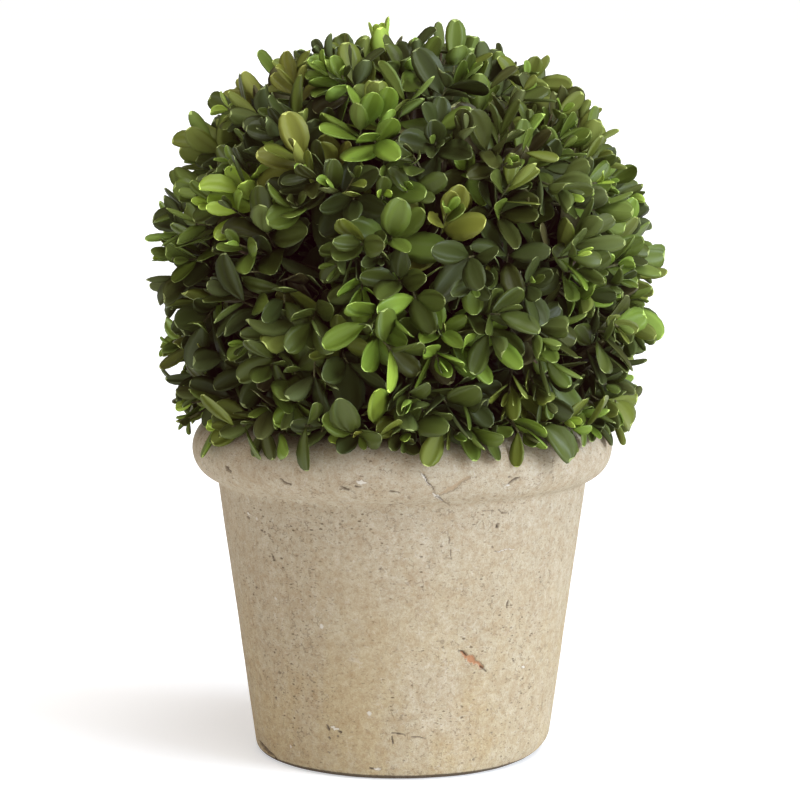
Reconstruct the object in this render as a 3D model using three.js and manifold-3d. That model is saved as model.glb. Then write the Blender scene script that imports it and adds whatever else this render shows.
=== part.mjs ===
/*
 * A clipped box ball growing in a rolled-rim clay pot.
 *
 * Units are millimetres and +Z is up. The origin is the centre of the pot's flat underside,
 * and the front of the plant faces -Y. Each sub-part is one closed, faceted mesh:
 *   pot           a tapered pot with a thick rolled rim
 *   soil          the potting mix that fills it, mounded a little round the stem
 *   stem          the short woody stem, flared at its foot, that carries the crown
 *   foliage_ball  the clipped crown, a lumpy ball that sits on the rim and dips into the mouth
 */
import * as THREE from 'three';
import { mergeVertices } from 'three/addons/utils/BufferGeometryUtils.js';
import Module from 'manifold-3d';

const SEAT_GAP = 0.3; // left between two pieces that touch

const POT = {
	footRadius: 70.9, // where the line of the outer wall meets the ground
	neckRadius: 88.6, // outer wall at the neck, under the rim
	neckHeight: 130,
	footRound: 4.5, // worn lower edge
	rollRadius: 15.3, // round section of the rim
	rollCentre: new THREE.Vector2(86.1, 148.5), // radius and height of that section's centre
	neckFillet: 4.5, // hollow between the wall and the rim
	wall: 13,
	floor: 13,
	floorRound: 8,
	segments: 60,
};

const SOIL = {
	edgeHeight: 138,
	crownHeight: 140, // flat top round the stem's foot
	flatRadius: 20,
	lump: 0.8,
};

const STEM = {
	height: 46,
	neckRadius: 7.4, // just above the root flare
	tipRadius: 6.2,
	flare: 4.6, // added to the radius at the ground
	flareHeight: 6,
	flareLobes: 3,
	lobeDepth: 0.3,
	lean: new THREE.Vector2(1.5, 0.6), // how far the tip stands off the foot
	segments: 24,
	rows: 9,
};

const CROWN = {
	centre: new THREE.Vector3(1, 0, 228),
	halfWidth: 121.5,
	halfHeight: 119,
	squareness: 2.25, // 2 is an ellipse, and more is fuller at the shoulders
	topShift: - 4, // the clipped top stands this far to the left of the middle
	detail: 14,
	hem: 153.5, // the leaves hang this low outside the rim
	dip: 150, // and this low inside the mouth
};

const TUFTS = {
	spacing: 27,
	lowest: 0.5, // how far a tuft's tip stands out of the mean outline
	highest: 6,
	fall: 6.5, // drop of a tuft's side at half the spacing
	jitter: 0.3, // as a part of the spacing
	seed: 41,
};

const COLOURS = {
	pot: 0xcdc0a4,
	soil: 0x3b2c20,
	stem: 0x6b5138,
	foliage: 0x3f5a24,
};

const wallSlope = (POT.neckRadius - POT.footRadius) / POT.neckHeight;
const wallAngle = Math.atan(wallSlope);
const innerFootRadius = POT.footRadius - POT.wall / Math.cos(wallAngle);

const wasm = await Module();
wasm.setup();

/** Points on an arc about a centre, from one angle to another in degrees. */
function arc(centre, radius, fromDegrees, toDegrees, steps) {

	const points = [];

	for (let i = 0; i <= steps; i ++) {

		const angle = THREE.MathUtils.degToRad(THREE.MathUtils.lerp(fromDegrees, toDegrees, i / steps));
		points.push(new THREE.Vector2(Math.cos(angle), Math.sin(angle)).multiplyScalar(radius).add(centre));

	}

	return points;

}

/** Direction from one point to another, in degrees. */
function bearing(from, to) {

	return THREE.MathUtils.radToDeg(Math.atan2(to.y - from.y, to.x - from.x));

}

/** Merges shared corners and drops the triangles that collapse at a pole. */
function weld(geometry) {

	const bare = geometry.clone();
	bare.deleteAttribute('normal');
	bare.deleteAttribute('uv');
	const welded = mergeVertices(bare, 1e-3);
	const corners = [];

	for (let i = 0; i < welded.index.count; i += 3) {

		const [a, b, c] = [0, 1, 2].map((k) => welded.index.getX(i + k));
		if (a !== b && b !== c && c !== a) corners.push(a, b, c);

	}

	welded.setIndex(corners);
	return welded;

}

/** Turns an outline of radius and height about the Z axis. */
function revolve(outline, segments) {

	return weld(new THREE.LatheGeometry(outline, segments).rotateX(Math.PI / 2));

}

/** A closed geometry as a solid that can be cut. */
function toSolid(geometry) {

	return new wasm.Manifold(new wasm.Mesh({
		numProp: 3,
		vertProperties: new Float32Array(geometry.attributes.position.array),
		triVerts: new Uint32Array(geometry.index.array),
	}));

}

/** The body with each of the tools taken out of it. */
function cut(body, tools) {

	const solid = tools.reduce((left, tool) => left.subtract(toSolid(tool)), toSolid(body));
	const mesh = solid.getMesh();
	const geometry = new THREE.BufferGeometry();
	geometry.setAttribute('position', new THREE.BufferAttribute(mesh.vertProperties, 3));
	geometry.setIndex(new THREE.BufferAttribute(mesh.triVerts, 1));
	return geometry;

}

/** A repeatable stream of numbers from 0 to 1. */
function randomStream(seed) {

	let state = seed;

	return () => {

		state = (state + 0x6d2b79f5) | 0;
		let mixed = Math.imul(state ^ (state >>> 15), 1 | state);
		mixed = (mixed + Math.imul(mixed ^ (mixed >>> 7), 61 | mixed)) ^ mixed;
		return ((mixed ^ (mixed >>> 14)) >>> 0) / 2 ** 32;

	};

}

/** Centre of a round that touches a wall line on one side and a level surface at a height. */
function roundCentre(footRadius, level, radius, side) {

	const height = level + radius;
	return new THREE.Vector2(footRadius + wallSlope * height - side * radius / Math.cos(wallAngle), height);

}

/** Centre of the hollow that blends the outer wall into the rolled rim. */
function neckHollowCentre() {

	const reach = POT.rollRadius + POT.neckFillet;
	const start = POT.footRadius + POT.neckFillet / Math.cos(wallAngle) - POT.rollCentre.x;
	const a = 1 + wallSlope ** 2;
	const b = 2 * (start * wallSlope - POT.rollCentre.y);
	const c = start ** 2 + POT.rollCentre.y ** 2 - reach ** 2;
	const height = (- b - Math.sqrt(b * b - 4 * a * c)) / (2 * a);
	return new THREE.Vector2(start + POT.rollCentre.x + wallSlope * height, height);

}

/** Centre of the round between the top of the rim and the inner wall, and its radius. */
function innerLip() {

	const top = POT.rollCentre.y + POT.rollRadius;
	const room = POT.rollCentre.x - innerFootRadius - wallSlope * top;
	const radius = room / (1 / Math.cos(wallAngle) - wallSlope);
	return { centre: new THREE.Vector2(POT.rollCentre.x, top - radius), radius };

}

function makePot() {

	const tilt = THREE.MathUtils.radToDeg(wallAngle);
	const foot = roundCentre(POT.footRadius, 0, POT.footRound, 1);
	const hollow = neckHollowCentre();
	const lip = innerLip();
	const well = roundCentre(innerFootRadius, POT.floor, POT.floorRound, 1);
	return revolve([
		new THREE.Vector2(0, 0),
		...arc(foot, POT.footRound, - 90, - tilt, 3),
		...arc(hollow, POT.neckFillet, 180 - tilt, bearing(hollow, POT.rollCentre), 3),
		...arc(POT.rollCentre, POT.rollRadius, bearing(POT.rollCentre, hollow), 90, 9).slice(1),
		...arc(lip.centre, lip.radius, 90, 180 - tilt, 3).slice(1),
		...arc(well, POT.floorRound, - tilt, - 90, 2),
		new THREE.Vector2(0, POT.floor),
	], POT.segments);

}

function makeSoil() {

	const well = roundCentre(innerFootRadius, POT.floor, POT.floorRound, 1);
	const tilt = THREE.MathUtils.radToDeg(wallAngle);
	const edge = innerFootRadius + wallSlope * SOIL.edgeHeight - SEAT_GAP / Math.cos(wallAngle);
	const soil = revolve([
		new THREE.Vector2(0, POT.floor + SEAT_GAP),
		...arc(well, POT.floorRound - SEAT_GAP, - 90, - tilt, 2),
		new THREE.Vector2(edge, SOIL.edgeHeight),
		new THREE.Vector2(THREE.MathUtils.lerp(SOIL.flatRadius, edge, 0.6), SOIL.edgeHeight + 1),
		new THREE.Vector2(SOIL.flatRadius, SOIL.crownHeight),
		new THREE.Vector2(0, SOIL.crownHeight),
	], POT.segments);
	const position = soil.attributes.position;

	for (let i = 0; i < position.count; i ++) {

		const [x, y, z] = [position.getX(i), position.getY(i), position.getZ(i)];
		const onSlope = z > SOIL.edgeHeight + 0.5 && Math.hypot(x, y) > SOIL.flatRadius + 1;
		if (onSlope) position.setZ(i, z + SOIL.lump * Math.sin(x / 9) * Math.cos(y / 7));

	}

	return soil;

}

/** The stem, or with a margin the pocket that it stands in. */
function makeStem(margin = 0) {

	const foot = SOIL.crownHeight + SEAT_GAP - margin;
	const tip = SOIL.crownHeight + SEAT_GAP + STEM.height + margin;
	const outline = [new THREE.Vector2(0, foot)];

	for (let row = 0; row <= STEM.rows; row ++) {

		const share = row / STEM.rows;
		const taper = THREE.MathUtils.lerp(STEM.neckRadius, STEM.tipRadius, share);
		outline.push(new THREE.Vector2(taper + margin, THREE.MathUtils.lerp(foot, tip, share ** 1.4)));

	}

	outline.push(new THREE.Vector2(0, tip));
	const stem = revolve(outline, STEM.segments);
	const position = stem.attributes.position;

	for (let i = 0; i < position.count; i ++) {

		const [x, y, z] = [position.getX(i), position.getY(i), position.getZ(i)];
		const rise = z - foot;
		const lobes = 1 + STEM.lobeDepth * Math.cos(STEM.flareLobes * Math.atan2(y, x));
		const spread = STEM.flare * Math.exp(- rise / STEM.flareHeight) * lobes;
		const grow = 1 + spread / STEM.neckRadius;
		const lean = rise / STEM.height;
		position.setXY(i, x * grow + STEM.lean.x * lean, y * grow + STEM.lean.y * lean);

	}

	return stem;

}

/** The tips of the clipped shoots: an even spiral over the ball, shaken a little. */
function tuftTips() {

	const random = randomStream(TUFTS.seed);
	const count = Math.round(4 * Math.PI * (CROWN.halfWidth / TUFTS.spacing) ** 2);
	const turn = Math.PI * (3 - Math.sqrt(5));
	const shake = TUFTS.jitter * TUFTS.spacing / CROWN.halfWidth;
	return Array.from({ length: count }, (_, i) => {

		const height = 1 - (2 * i + 1) / count;
		const ring = Math.sqrt(1 - height * height);
		const tip = new THREE.Vector3(ring * Math.cos(i * turn), ring * Math.sin(i * turn), height);
		tip.add(new THREE.Vector3(random() - 0.5, random() - 0.5, random() - 0.5).multiplyScalar(2 * shake));
		return { tip: tip.normalize(), rise: THREE.MathUtils.lerp(TUFTS.lowest, TUFTS.highest, random()) };

	});

}

/** How far the smooth clipped outline stands from the centre, in a direction. */
function outlineRadius(direction) {

	const across = Math.hypot(direction.x, direction.y) / CROWN.halfWidth;
	const up = Math.abs(direction.z) / CROWN.halfHeight;
	return (across ** CROWN.squareness + up ** CROWN.squareness) ** (- 1 / CROWN.squareness);

}

/** The ball before it is fitted to the pot: the outline with a tuft round each shoot's tip. */
function makeBall() {

	const ball = weld(new THREE.IcosahedronGeometry(1, CROWN.detail));
	const tufts = tuftTips();
	const position = ball.attributes.position;
	const point = new THREE.Vector3();

	for (let i = 0; i < position.count; i ++) {

		point.fromBufferAttribute(position, i).normalize();
		const offsets = tufts.map(({ tip, rise }) => {

			const away = point.distanceTo(tip) * CROWN.halfWidth / (TUFTS.spacing / 2);
			return rise - TUFTS.fall * away * away;

		});
		const shift = CROWN.topShift * Math.max(0, point.z) ** 2;
		point.multiplyScalar(outlineRadius(point) + Math.max(...offsets)).add(CROWN.centre);
		point.x += shift;
		position.setXYZ(i, point.x, point.y, point.z);

	}

	return ball;

}

/** Everything that the crown is cut clear of: the space under its hem, the rim and the mouth. */
function makeKeepOut() {

	const reach = 2 * CROWN.halfWidth;
	const clearRoll = POT.rollRadius + SEAT_GAP;
	const lip = innerLip();
	const clearLip = lip.radius + SEAT_GAP;
	const hemDegrees = THREE.MathUtils.radToDeg(Math.asin((CROWN.hem - POT.rollCentre.y) / clearRoll));
	const tilt = THREE.MathUtils.radToDeg(wallAngle);
	const mouth = innerFootRadius + wallSlope * CROWN.dip - SEAT_GAP / Math.cos(wallAngle);
	return revolve([
		new THREE.Vector2(0, 0),
		new THREE.Vector2(reach, 0),
		new THREE.Vector2(reach, CROWN.hem),
		...arc(POT.rollCentre, clearRoll, hemDegrees, 90, 5),
		...arc(lip.centre, clearLip, 90, 180 - tilt, 3).slice(1),
		new THREE.Vector2(mouth, CROWN.dip),
		new THREE.Vector2(0, CROWN.dip),
	], POT.segments);

}

function makeCrown() {

	return cut(makeBall(), [makeKeepOut(), makeStem(SEAT_GAP)]);

}

/** One named piece with its finish. */
function piece(name, geometry, color, roughness) {

	const material = new THREE.MeshStandardMaterial({ color, roughness, metalness: 0 });
	const mesh = new THREE.Mesh(geometry, material);
	mesh.name = name;
	return mesh;

}

const group = new THREE.Group();
group.add(piece('pot', makePot(), COLOURS.pot, 0.9));
group.add(piece('soil', makeSoil(), COLOURS.soil, 1));
group.add(piece('stem', makeStem(), COLOURS.stem, 0.85));
group.add(piece('foliage_ball', makeCrown(), COLOURS.foliage, 0.6));

export default group;
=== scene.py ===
"""A clipped box ball growing in a rolled-rim clay pot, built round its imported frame.

Lengths are in metres and +Z is up. The origin is the centre of the pot's underside, and the
front of the plant faces -Y. The plant grows as a real one does: a short stem forks into
boughs, the boughs into twigs, and each twig ends in a leafy spray that the shears have
trimmed to the ball's outline.
"""

import logging
import math
from collections.abc import Sequence
from dataclasses import dataclass, field, fields
from enum import Enum
from random import Random
from typing import Any

import bmesh
import bpy
import numpy as np
from mathutils import Matrix, Vector, noise
from mathutils.bvhtree import BVHTree


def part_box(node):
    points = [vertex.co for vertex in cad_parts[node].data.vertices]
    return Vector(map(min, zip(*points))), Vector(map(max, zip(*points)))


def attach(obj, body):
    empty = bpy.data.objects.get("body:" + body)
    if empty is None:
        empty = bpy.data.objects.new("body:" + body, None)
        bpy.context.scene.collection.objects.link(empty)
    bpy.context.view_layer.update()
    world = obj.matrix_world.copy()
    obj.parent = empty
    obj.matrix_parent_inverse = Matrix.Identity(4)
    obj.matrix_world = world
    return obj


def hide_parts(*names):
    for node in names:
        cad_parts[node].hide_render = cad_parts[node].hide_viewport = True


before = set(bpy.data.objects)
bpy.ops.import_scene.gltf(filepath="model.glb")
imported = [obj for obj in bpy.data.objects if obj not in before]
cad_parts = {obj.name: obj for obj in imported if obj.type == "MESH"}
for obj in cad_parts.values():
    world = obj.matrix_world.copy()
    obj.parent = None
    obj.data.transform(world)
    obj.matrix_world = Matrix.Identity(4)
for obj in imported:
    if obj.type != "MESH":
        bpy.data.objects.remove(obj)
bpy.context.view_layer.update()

LOG = logging.getLogger("box_ball")
BODY = "root"
MM = 0.001
TINY = 1e-12
UP = Vector((0.0, 0.0, 1.0))
Triple = tuple[float, float, float]
Colour = Triple
Pair = tuple[float, float]  # the two ends of a range, unless a comment says otherwise


# ---------------------------------------------------------------- shading


class Signal:
    """A socket that joins in arithmetic. Each operator adds one Math node."""

    def __init__(self, paint: "Paint", socket: bpy.types.NodeSocket) -> None:
        """Wraps an output socket of the material that is being painted."""
        self.paint = paint
        self.socket = socket

    def math(self, operation: str, first: Any, second: Any) -> "Signal":
        """One Math node on two values.

        Args:
            operation: The Math node's operation.
            first: A signal or a number.
            second: A signal or a number.

        Returns:
            The node's result.
        """
        return self.paint.node("ShaderNodeMath", {"operation": operation}, {0: first, 1: second})

    def __add__(self, other: Any) -> "Signal":
        """self + other."""
        return self.math("ADD", self, other)

    def __radd__(self, other: Any) -> "Signal":
        """other + self."""
        return self.math("ADD", other, self)

    def __sub__(self, other: Any) -> "Signal":
        """self - other."""
        return self.math("SUBTRACT", self, other)

    def __rsub__(self, other: Any) -> "Signal":
        """other - self."""
        return self.math("SUBTRACT", other, self)

    def __mul__(self, other: Any) -> "Signal":
        """self * other."""
        return self.math("MULTIPLY", self, other)

    def __rmul__(self, other: Any) -> "Signal":
        """other * self."""
        return self.math("MULTIPLY", other, self)

    def above(self, level: float, softness: float) -> "Signal":
        """A mask that rises from 0 to 1 over a soft step.

        Args:
            level: Where the step begins.
            softness: How far the step takes to reach 1.

        Returns:
            The mask, between 0 and 1.
        """
        sizes = {0: self, 1: level, 2: level + softness}
        return self.paint.node("ShaderNodeMapRange", {"interpolation_type": "SMOOTHSTEP"}, sizes)

    def below(self, level: float, softness: float) -> "Signal":
        """A mask that falls from 1 to 0 over a soft step that ends at a level."""
        return 1.0 - self.above(level - softness, softness)

    def larger(self, other: Any) -> "Signal":
        """The larger of this and another value."""
        return self.math("MAXIMUM", self, other)


@dataclass(frozen=True)
class Cloud:
    """Soft noise, and the step that makes a mask of it."""

    scale: float  # cells to a metre
    detail: float = 3.0
    rough: float = 0.5
    level: float = 0.5  # where the mask begins
    softness: float = 0.2  # how far the noise rises from there to the full mask
    strength: float = 1.0  # how much the full mask covers


@dataclass(frozen=True)
class Specks:
    """Round specks, one in some of the cells of a grid."""

    scale: float  # cells to a metre
    size: float  # a speck's radius as a part of a cell
    share: float  # the part of the cells that hold a speck
    strength: float  # how much a speck covers
    softness: float = 0.5  # the part of its radius over which it fades
    draw_softness: float = 0.02


@dataclass(frozen=True)
class Hairs:
    """Short curved hairlines: the borders of a grid's cells, where noise lets them show."""

    scale: float  # cells to a metre
    width: float  # half a line's width as a part of a cell
    level: float  # the noise level above which a line shows
    strength: float  # how much a line covers
    softness: float = 0.6  # the part of its width over which it fades
    noise_scale: float = 0.8  # as a part of the grid's scale
    noise_step: float = 0.04


class Paint:
    """The node tree of one material, or of the world."""

    def __init__(self, owner: bpy.types.Material | bpy.types.World) -> None:
        """Empties the tree of a new material or world."""
        self.owner = owner
        owner.use_nodes = True
        self.tree = owner.node_tree
        self.tree.nodes.clear()

    def node(
        self,
        kind: str,
        settings: dict[str, Any] | None = None,
        inputs: dict[int | str, Any] | None = None,
        output: int | str = 0,
    ) -> Signal:
        """Adds any node.

        Args:
            kind: The node's type.
            settings: Its properties, set first. "stops" holds a ramp's stops.
            inputs: Values or signals for its sockets, by index or name.
            output: Which of its outputs is wanted.

        Returns:
            The wanted output.
        """
        made = self.tree.nodes.new(kind)
        for name, value in (settings or {}).items():
            if name == "stops":
                self._set_stops(made.color_ramp, value)
            else:
                setattr(made, name, value)
        for key, value in (inputs or {}).items():
            if isinstance(value, Signal):
                self.tree.links.new(value.socket, made.inputs[key])
            else:
                made.inputs[key].default_value = value
        if not made.outputs:
            return Signal(self, made.inputs[0])
        return Signal(self, made.outputs[output])

    @staticmethod
    def _set_stops(ramp: bpy.types.ColorRamp, stops: Sequence[tuple[float, Colour]]) -> None:
        """Gives a colour ramp its stops."""
        while len(ramp.elements) > 1:
            ramp.elements.remove(ramp.elements[-1])
        for i, (place, colour) in enumerate(stops):
            stop = ramp.elements[0] if i == 0 else ramp.elements.new(place)
            stop.position = place
            stop.color = (*colour, 1.0)

    def places(self, stretch: Triple = (1.0, 1.0, 1.0)) -> Signal:
        """Object coordinates, stretched along each axis."""
        coordinates = self.node("ShaderNodeTexCoord", output="Object")
        return self.node("ShaderNodeMapping", {}, {"Vector": coordinates, "Scale": stretch})

    def shaken(self, places: Signal, scale: float, reach: float, detail: float = 2.0) -> Signal:
        """Coordinates pushed about by noise.

        Args:
            places: Coordinates.
            scale: How fine the noise is.
            reach: How far it pushes, in metres.
            detail: How many finer layers the noise has.

        Returns:
            The pushed coordinates.
        """
        cloud = {"Vector": places, "Scale": scale, "Detail": detail}
        push = self.node("ShaderNodeTexNoise", {}, cloud, "Color")
        settings = {"operation": "MULTIPLY_ADD"}
        return self.node("ShaderNodeVectorMath", settings, {0: push, 1: (reach, reach, reach), 2: places})

    def attribute(self, name: str, output: str) -> Signal:
        """Reads a vertex attribute."""
        return self.node("ShaderNodeAttribute", {"attribute_name": name}, output=output)

    def height(self, places: Signal) -> Signal:
        """The height of each place."""
        return self.node("ShaderNodeSeparateXYZ", {}, {0: places}, "Z")

    def noise(self, places: Signal, cloud: Cloud) -> Signal:
        """Soft noise between 0 and 1, mostly near one half."""
        sizes = {"Vector": places, "Scale": cloud.scale, "Detail": cloud.detail, "Roughness": cloud.rough}
        return self.node("ShaderNodeTexNoise", {}, sizes)

    def cloud(self, places: Signal, cloud: Cloud) -> Signal:
        """A mask of soft patches."""
        return self.noise(places, cloud).above(cloud.level, cloud.softness) * cloud.strength

    def hairs(self, places: Signal, hairs: Hairs) -> Signal:
        """A mask of short hairlines.

        Args:
            places: Coordinates.
            hairs: What the lines are like.

        Returns:
            Their strength on a line, and 0 elsewhere.
        """
        cell = {"Vector": places, "Scale": hairs.scale}
        near = self.node("ShaderNodeTexVoronoi", {"feature": "DISTANCE_TO_EDGE"}, cell, "Distance")
        shown = self.noise(places, Cloud(hairs.scale * hairs.noise_scale, 1.0))
        line = near.below(hairs.width, hairs.width * hairs.softness)
        return line * shown.above(hairs.level, hairs.noise_step) * hairs.strength

    def specks(self, places: Signal, specks: Specks) -> Signal:
        """A mask of round specks.

        Args:
            places: Coordinates.
            specks: What the specks are like.

        Returns:
            Their strength inside a speck, and 0 elsewhere.
        """
        cell = {"Vector": places, "Scale": specks.scale}
        near = self.node("ShaderNodeTexVoronoi", {}, cell, "Distance")
        draw = self.node("ShaderNodeTexVoronoi", {}, cell, "Color")
        lot = self.node("ShaderNodeSeparateColor", {}, {0: draw})
        spot = near.below(specks.size, specks.size * specks.softness)
        return spot * lot.below(specks.share, specks.draw_softness) * specks.strength

    def mix(self, factor: Any, first: Any, second: Any, blend: str = "MIX") -> Signal:
        """Mixes two colours.

        Args:
            factor: How much of the second.
            first: A colour or a signal.
            second: A colour or a signal.
            blend: The blend mode.

        Returns:
            The mixed colour.
        """
        first = first if isinstance(first, Signal) else (*first, 1.0)
        second = second if isinstance(second, Signal) else (*second, 1.0)
        settings = {"data_type": "RGBA", "blend_type": blend}
        return self.node("ShaderNodeMix", settings, {0: factor, 6: first, 7: second}, 2)

    def shade(self, colour: Signal, amount: Signal, warmth: float = 0.0) -> Signal:
        """Multiplies a colour by a number that varies.

        Args:
            colour: The colour.
            amount: The number, about 1.
            warmth: How much less the red changes than the blue.

        Returns:
            The lighter or darker colour.
        """
        red = amount * (1.0 - warmth) + warmth
        blue = amount * (1.0 + warmth) - warmth
        tone = self.node("ShaderNodeCombineColor", {}, {0: red, 1: amount, 2: blue})
        return self.mix(1.0, colour, tone, "MULTIPLY")

    def principled(self, inputs: dict[str, Any], relief: Signal | None = None, depth: float = 0.0) -> None:
        """Ends the tree in a Principled shader.

        Args:
            inputs: Values or signals for its sockets.
            relief: A height between 0 and 1 for fine bumps.
            depth: What a relief of 1 stands for, in metres.
        """
        if relief is not None:
            bump = {"Height": relief, "Distance": depth, "Strength": 1.0}
            inputs = {**inputs, "Normal": self.node("ShaderNodeBump", {}, bump)}
        shader = self.node("ShaderNodeBsdfPrincipled", {}, inputs)
        self.node("ShaderNodeOutputMaterial", {}, {"Surface": shader})


@dataclass(frozen=True)
class ClayFinish:
    """Cream clay, mottled, pitted and dusty, with the marks that are cut in the mesh.

    A pair of values is a step's level and softness or, for a shake, its scale and its reach.
    """

    cream: Colour = (0.490, 0.402, 0.242)
    bloom: Colour = (0.487, 0.426, 0.312)  # the greyer clay near the rim
    bloom_rise: Pair = (15.0 * MM, 135.0 * MM)
    stone: Colour = (0.462, 0.404, 0.292)
    stone_cloud: Cloud = Cloud(24.0, 6.0, 0.8, 0.40, 0.2, 0.6)
    stone_stretch: Triple = (1.0, 1.0, 0.5)
    ochre: Colour = (0.448, 0.350, 0.205)
    ochre_cloud: Cloud = Cloud(50.0, 6.0, 0.85, 0.48, 0.14, 0.24)
    chalk: Colour = (0.600, 0.540, 0.425)
    chalk_streaks: Cloud = Cloud(38.0, 7.0, 0.75, 0.50, 0.2, 0.36)
    chalk_stretch: Triple = (1.0, 1.0, 0.4)
    chalk_swirls: Hairs = Hairs(42.0, 0.035, 0.52, 0.14)
    swirl_shake: Pair = (60.0, 9.0 * MM)
    mottle: Cloud = Cloud(230.0, 5.0, 1.0, strength=1.50)
    patches: Cloud = Cloud(45.0, 4.0, 0.8, strength=0.34)
    dimness: float = 0.02
    warmth: float = 0.30  # how much less the red is mottled than the blue
    grain_shake: Pair = (650.0, 1.3 * MM)
    # painted shade: the dark colour laid in the pits and cracks and round each cut mark
    pit_shade: Colour = (0.13, 0.088, 0.045)
    pit_shake: Pair = (420.0, 1.8 * MM)
    pit_stretch: Triple = (1.0, 1.0, 2.0)
    pit_patches: Cloud = Cloud(30.0, level=0.42, strength=0.5)
    fine_pits: Specks = Specks(430.0, 0.30, 0.55, 0.52)
    holes: Specks = Specks(215.0, 0.22, 0.40, 0.78)
    deep_pits: Specks = Specks(105.0, 0.13, 0.10, 0.72)
    cracks: Hairs = Hairs(330.0, 0.06, 0.58, 0.42)
    fleck: Colour = (0.68, 0.655, 0.585)
    flecks: Specks = Specks(135.0, 0.2, 0.05, 0.75)
    fleck_arcs: Hairs = Hairs(210.0, 0.05, 0.60, 0.16)
    mark_attribute: str = "mark"
    mark_rags: Cloud = Cloud(800.0, 3.0, 0.8, strength=1.3)
    mark_shows: Pair = (0.34, 0.2)
    # painted shadow: where the dark ring round a mark begins and ends, and how dark it is
    mark_shadow_begins: Pair = (0.12, 0.16)
    mark_shadow_ends: Pair = (0.62, 0.2)
    mark_shadow_strength: float = 0.45
    contact_shadow: Colour = (0.050, 0.034, 0.020)  # painted contact shadow: the dark line where the foot meets what it stands on
    contact_shadow_line: Pair = (3.3 * MM, 0.8 * MM)
    contact_shadow_rags: float = 1.2 * MM
    contact_shadow_cover: float = 0.88
    roughness: float = 0.84
    roughness_varies: float = 0.12
    sheen: float = 0.3
    pit_depth: float = 0.45  # as a part of the relief
    relief: float = 0.9 * MM

    def material(self) -> bpy.types.Material:
        """Paints the clay.

        Returns:
            The finished material.
        """
        paint = Paint(bpy.data.materials.new("clay"))
        places = paint.places()
        shaken = paint.shaken(places, *self.grain_shake)
        mottle = paint.noise(places, self.mottle)
        patches = paint.noise(places, self.patches)
        amount = self.mottle.strength * mottle + self.patches.strength * patches - self.dimness
        colour = paint.shade(self.ground(paint, places), amount, self.warmth)
        # painted shade: the pits and cracks, dented by the relief, are darkened in colour too
        dark = self.pits(paint, places, shaken)
        colour = paint.mix(dark, colour, self.pit_shade)
        pale = paint.specks(shaken, self.flecks).larger(paint.hairs(shaken, self.fleck_arcs))
        colour = paint.mix(pale, colour, self.fleck)
        colour = self.marks(paint, places, colour)
        # painted contact shadow: the clay is darkened along the lowest few millimetres of the foot, with a
        # ragged top
        foot = (paint.height(places) + self.contact_shadow_rags * mottle).below(*self.contact_shadow_line)
        colour = paint.mix(foot * self.contact_shadow_cover, colour, self.contact_shadow)
        roughness = self.roughness + self.roughness_varies * mottle
        inputs = {"Base Color": colour, "Roughness": roughness, "Specular IOR Level": self.sheen}
        paint.principled(inputs, mottle - self.pit_depth * dark, self.relief)
        return paint.owner

    def ground(self, paint: Paint, places: Signal) -> Signal:
        """The clay's colour before its specks: cream with grey, ochre and chalky clouds.

        Args:
            paint: The material's tree.
            places: Coordinates.

        Returns:
            The colour.
        """
        colour = paint.mix(paint.height(places).above(*self.bloom_rise), self.cream, self.bloom)
        grey = paint.cloud(paint.places(self.stone_stretch), self.stone_cloud)
        colour = paint.mix(grey, colour, self.stone)
        colour = paint.mix(paint.cloud(places, self.ochre_cloud), colour, self.ochre)
        streaks = paint.cloud(paint.places(self.chalk_stretch), self.chalk_streaks)
        swirls = paint.hairs(paint.shaken(places, *self.swirl_shake), self.chalk_swirls)
        return paint.mix(streaks.larger(swirls), colour, self.chalk)

    def pits(self, paint: Paint, places: Signal, shaken: Signal) -> Signal:
        """Painted shade in small pits and hairline cracks, thicker in some patches than in others.

        Args:
            paint: The material's tree.
            places: Coordinates.
            shaken: The same, roughened.

        Returns:
            How strongly the dark shows.
        """
        patchy = (1.0 - self.pit_patches.strength) + paint.cloud(places, self.pit_patches)
        flat = paint.shaken(paint.places(self.pit_stretch), *self.pit_shake)
        dark = paint.specks(flat, self.fine_pits).larger(paint.specks(flat, self.holes))
        dark = dark.larger(paint.hairs(shaken, self.cracks))
        return dark.larger(paint.specks(shaken, self.deep_pits)) * patchy

    def marks(self, paint: Paint, places: Signal, colour: Signal) -> Signal:
        """Lays the colours of the cut marks, with a painted shadow along their ragged edges.

        Args:
            paint: The material's tree.
            places: Coordinates.
            colour: The clay's colour.

        Returns:
            The colour with its marks.
        """
        rags = self.mark_rags.strength * (paint.noise(places, self.mark_rags) - self.mark_rags.level)
        cover = paint.attribute(self.mark_attribute, "Alpha") + rags
        # painted shadow: a dark ring round the ragged edge of each mark
        edge = cover.above(*self.mark_shadow_begins) * cover.below(*self.mark_shadow_ends)
        colour = paint.mix(edge * self.mark_shadow_strength, colour, self.pit_shade)
        inside = paint.attribute(self.mark_attribute, "Color")
        return paint.mix(cover.above(*self.mark_shows), colour, inside)


@dataclass(frozen=True)
class EarthFinish:
    """Dark, fibrous potting mix."""

    damp: Colour = (0.022, 0.014, 0.009)
    dry: Colour = (0.075, 0.048, 0.03)
    crumbs: Cloud = Cloud(220.0, 6.0, 0.7, 0.4, 0.25)
    roughness: float = 0.95
    relief: float = 1.5 * MM

    def material(self) -> bpy.types.Material:
        """Paints the potting mix."""
        paint = Paint(bpy.data.materials.new("potting_mix"))
        crumbs = paint.noise(paint.places(), self.crumbs)
        dry = crumbs.above(self.crumbs.level, self.crumbs.softness)
        colour = paint.mix(dry, self.damp, self.dry)
        paint.principled({"Base Color": colour, "Roughness": self.roughness}, crumbs, self.relief)
        return paint.owner


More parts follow.
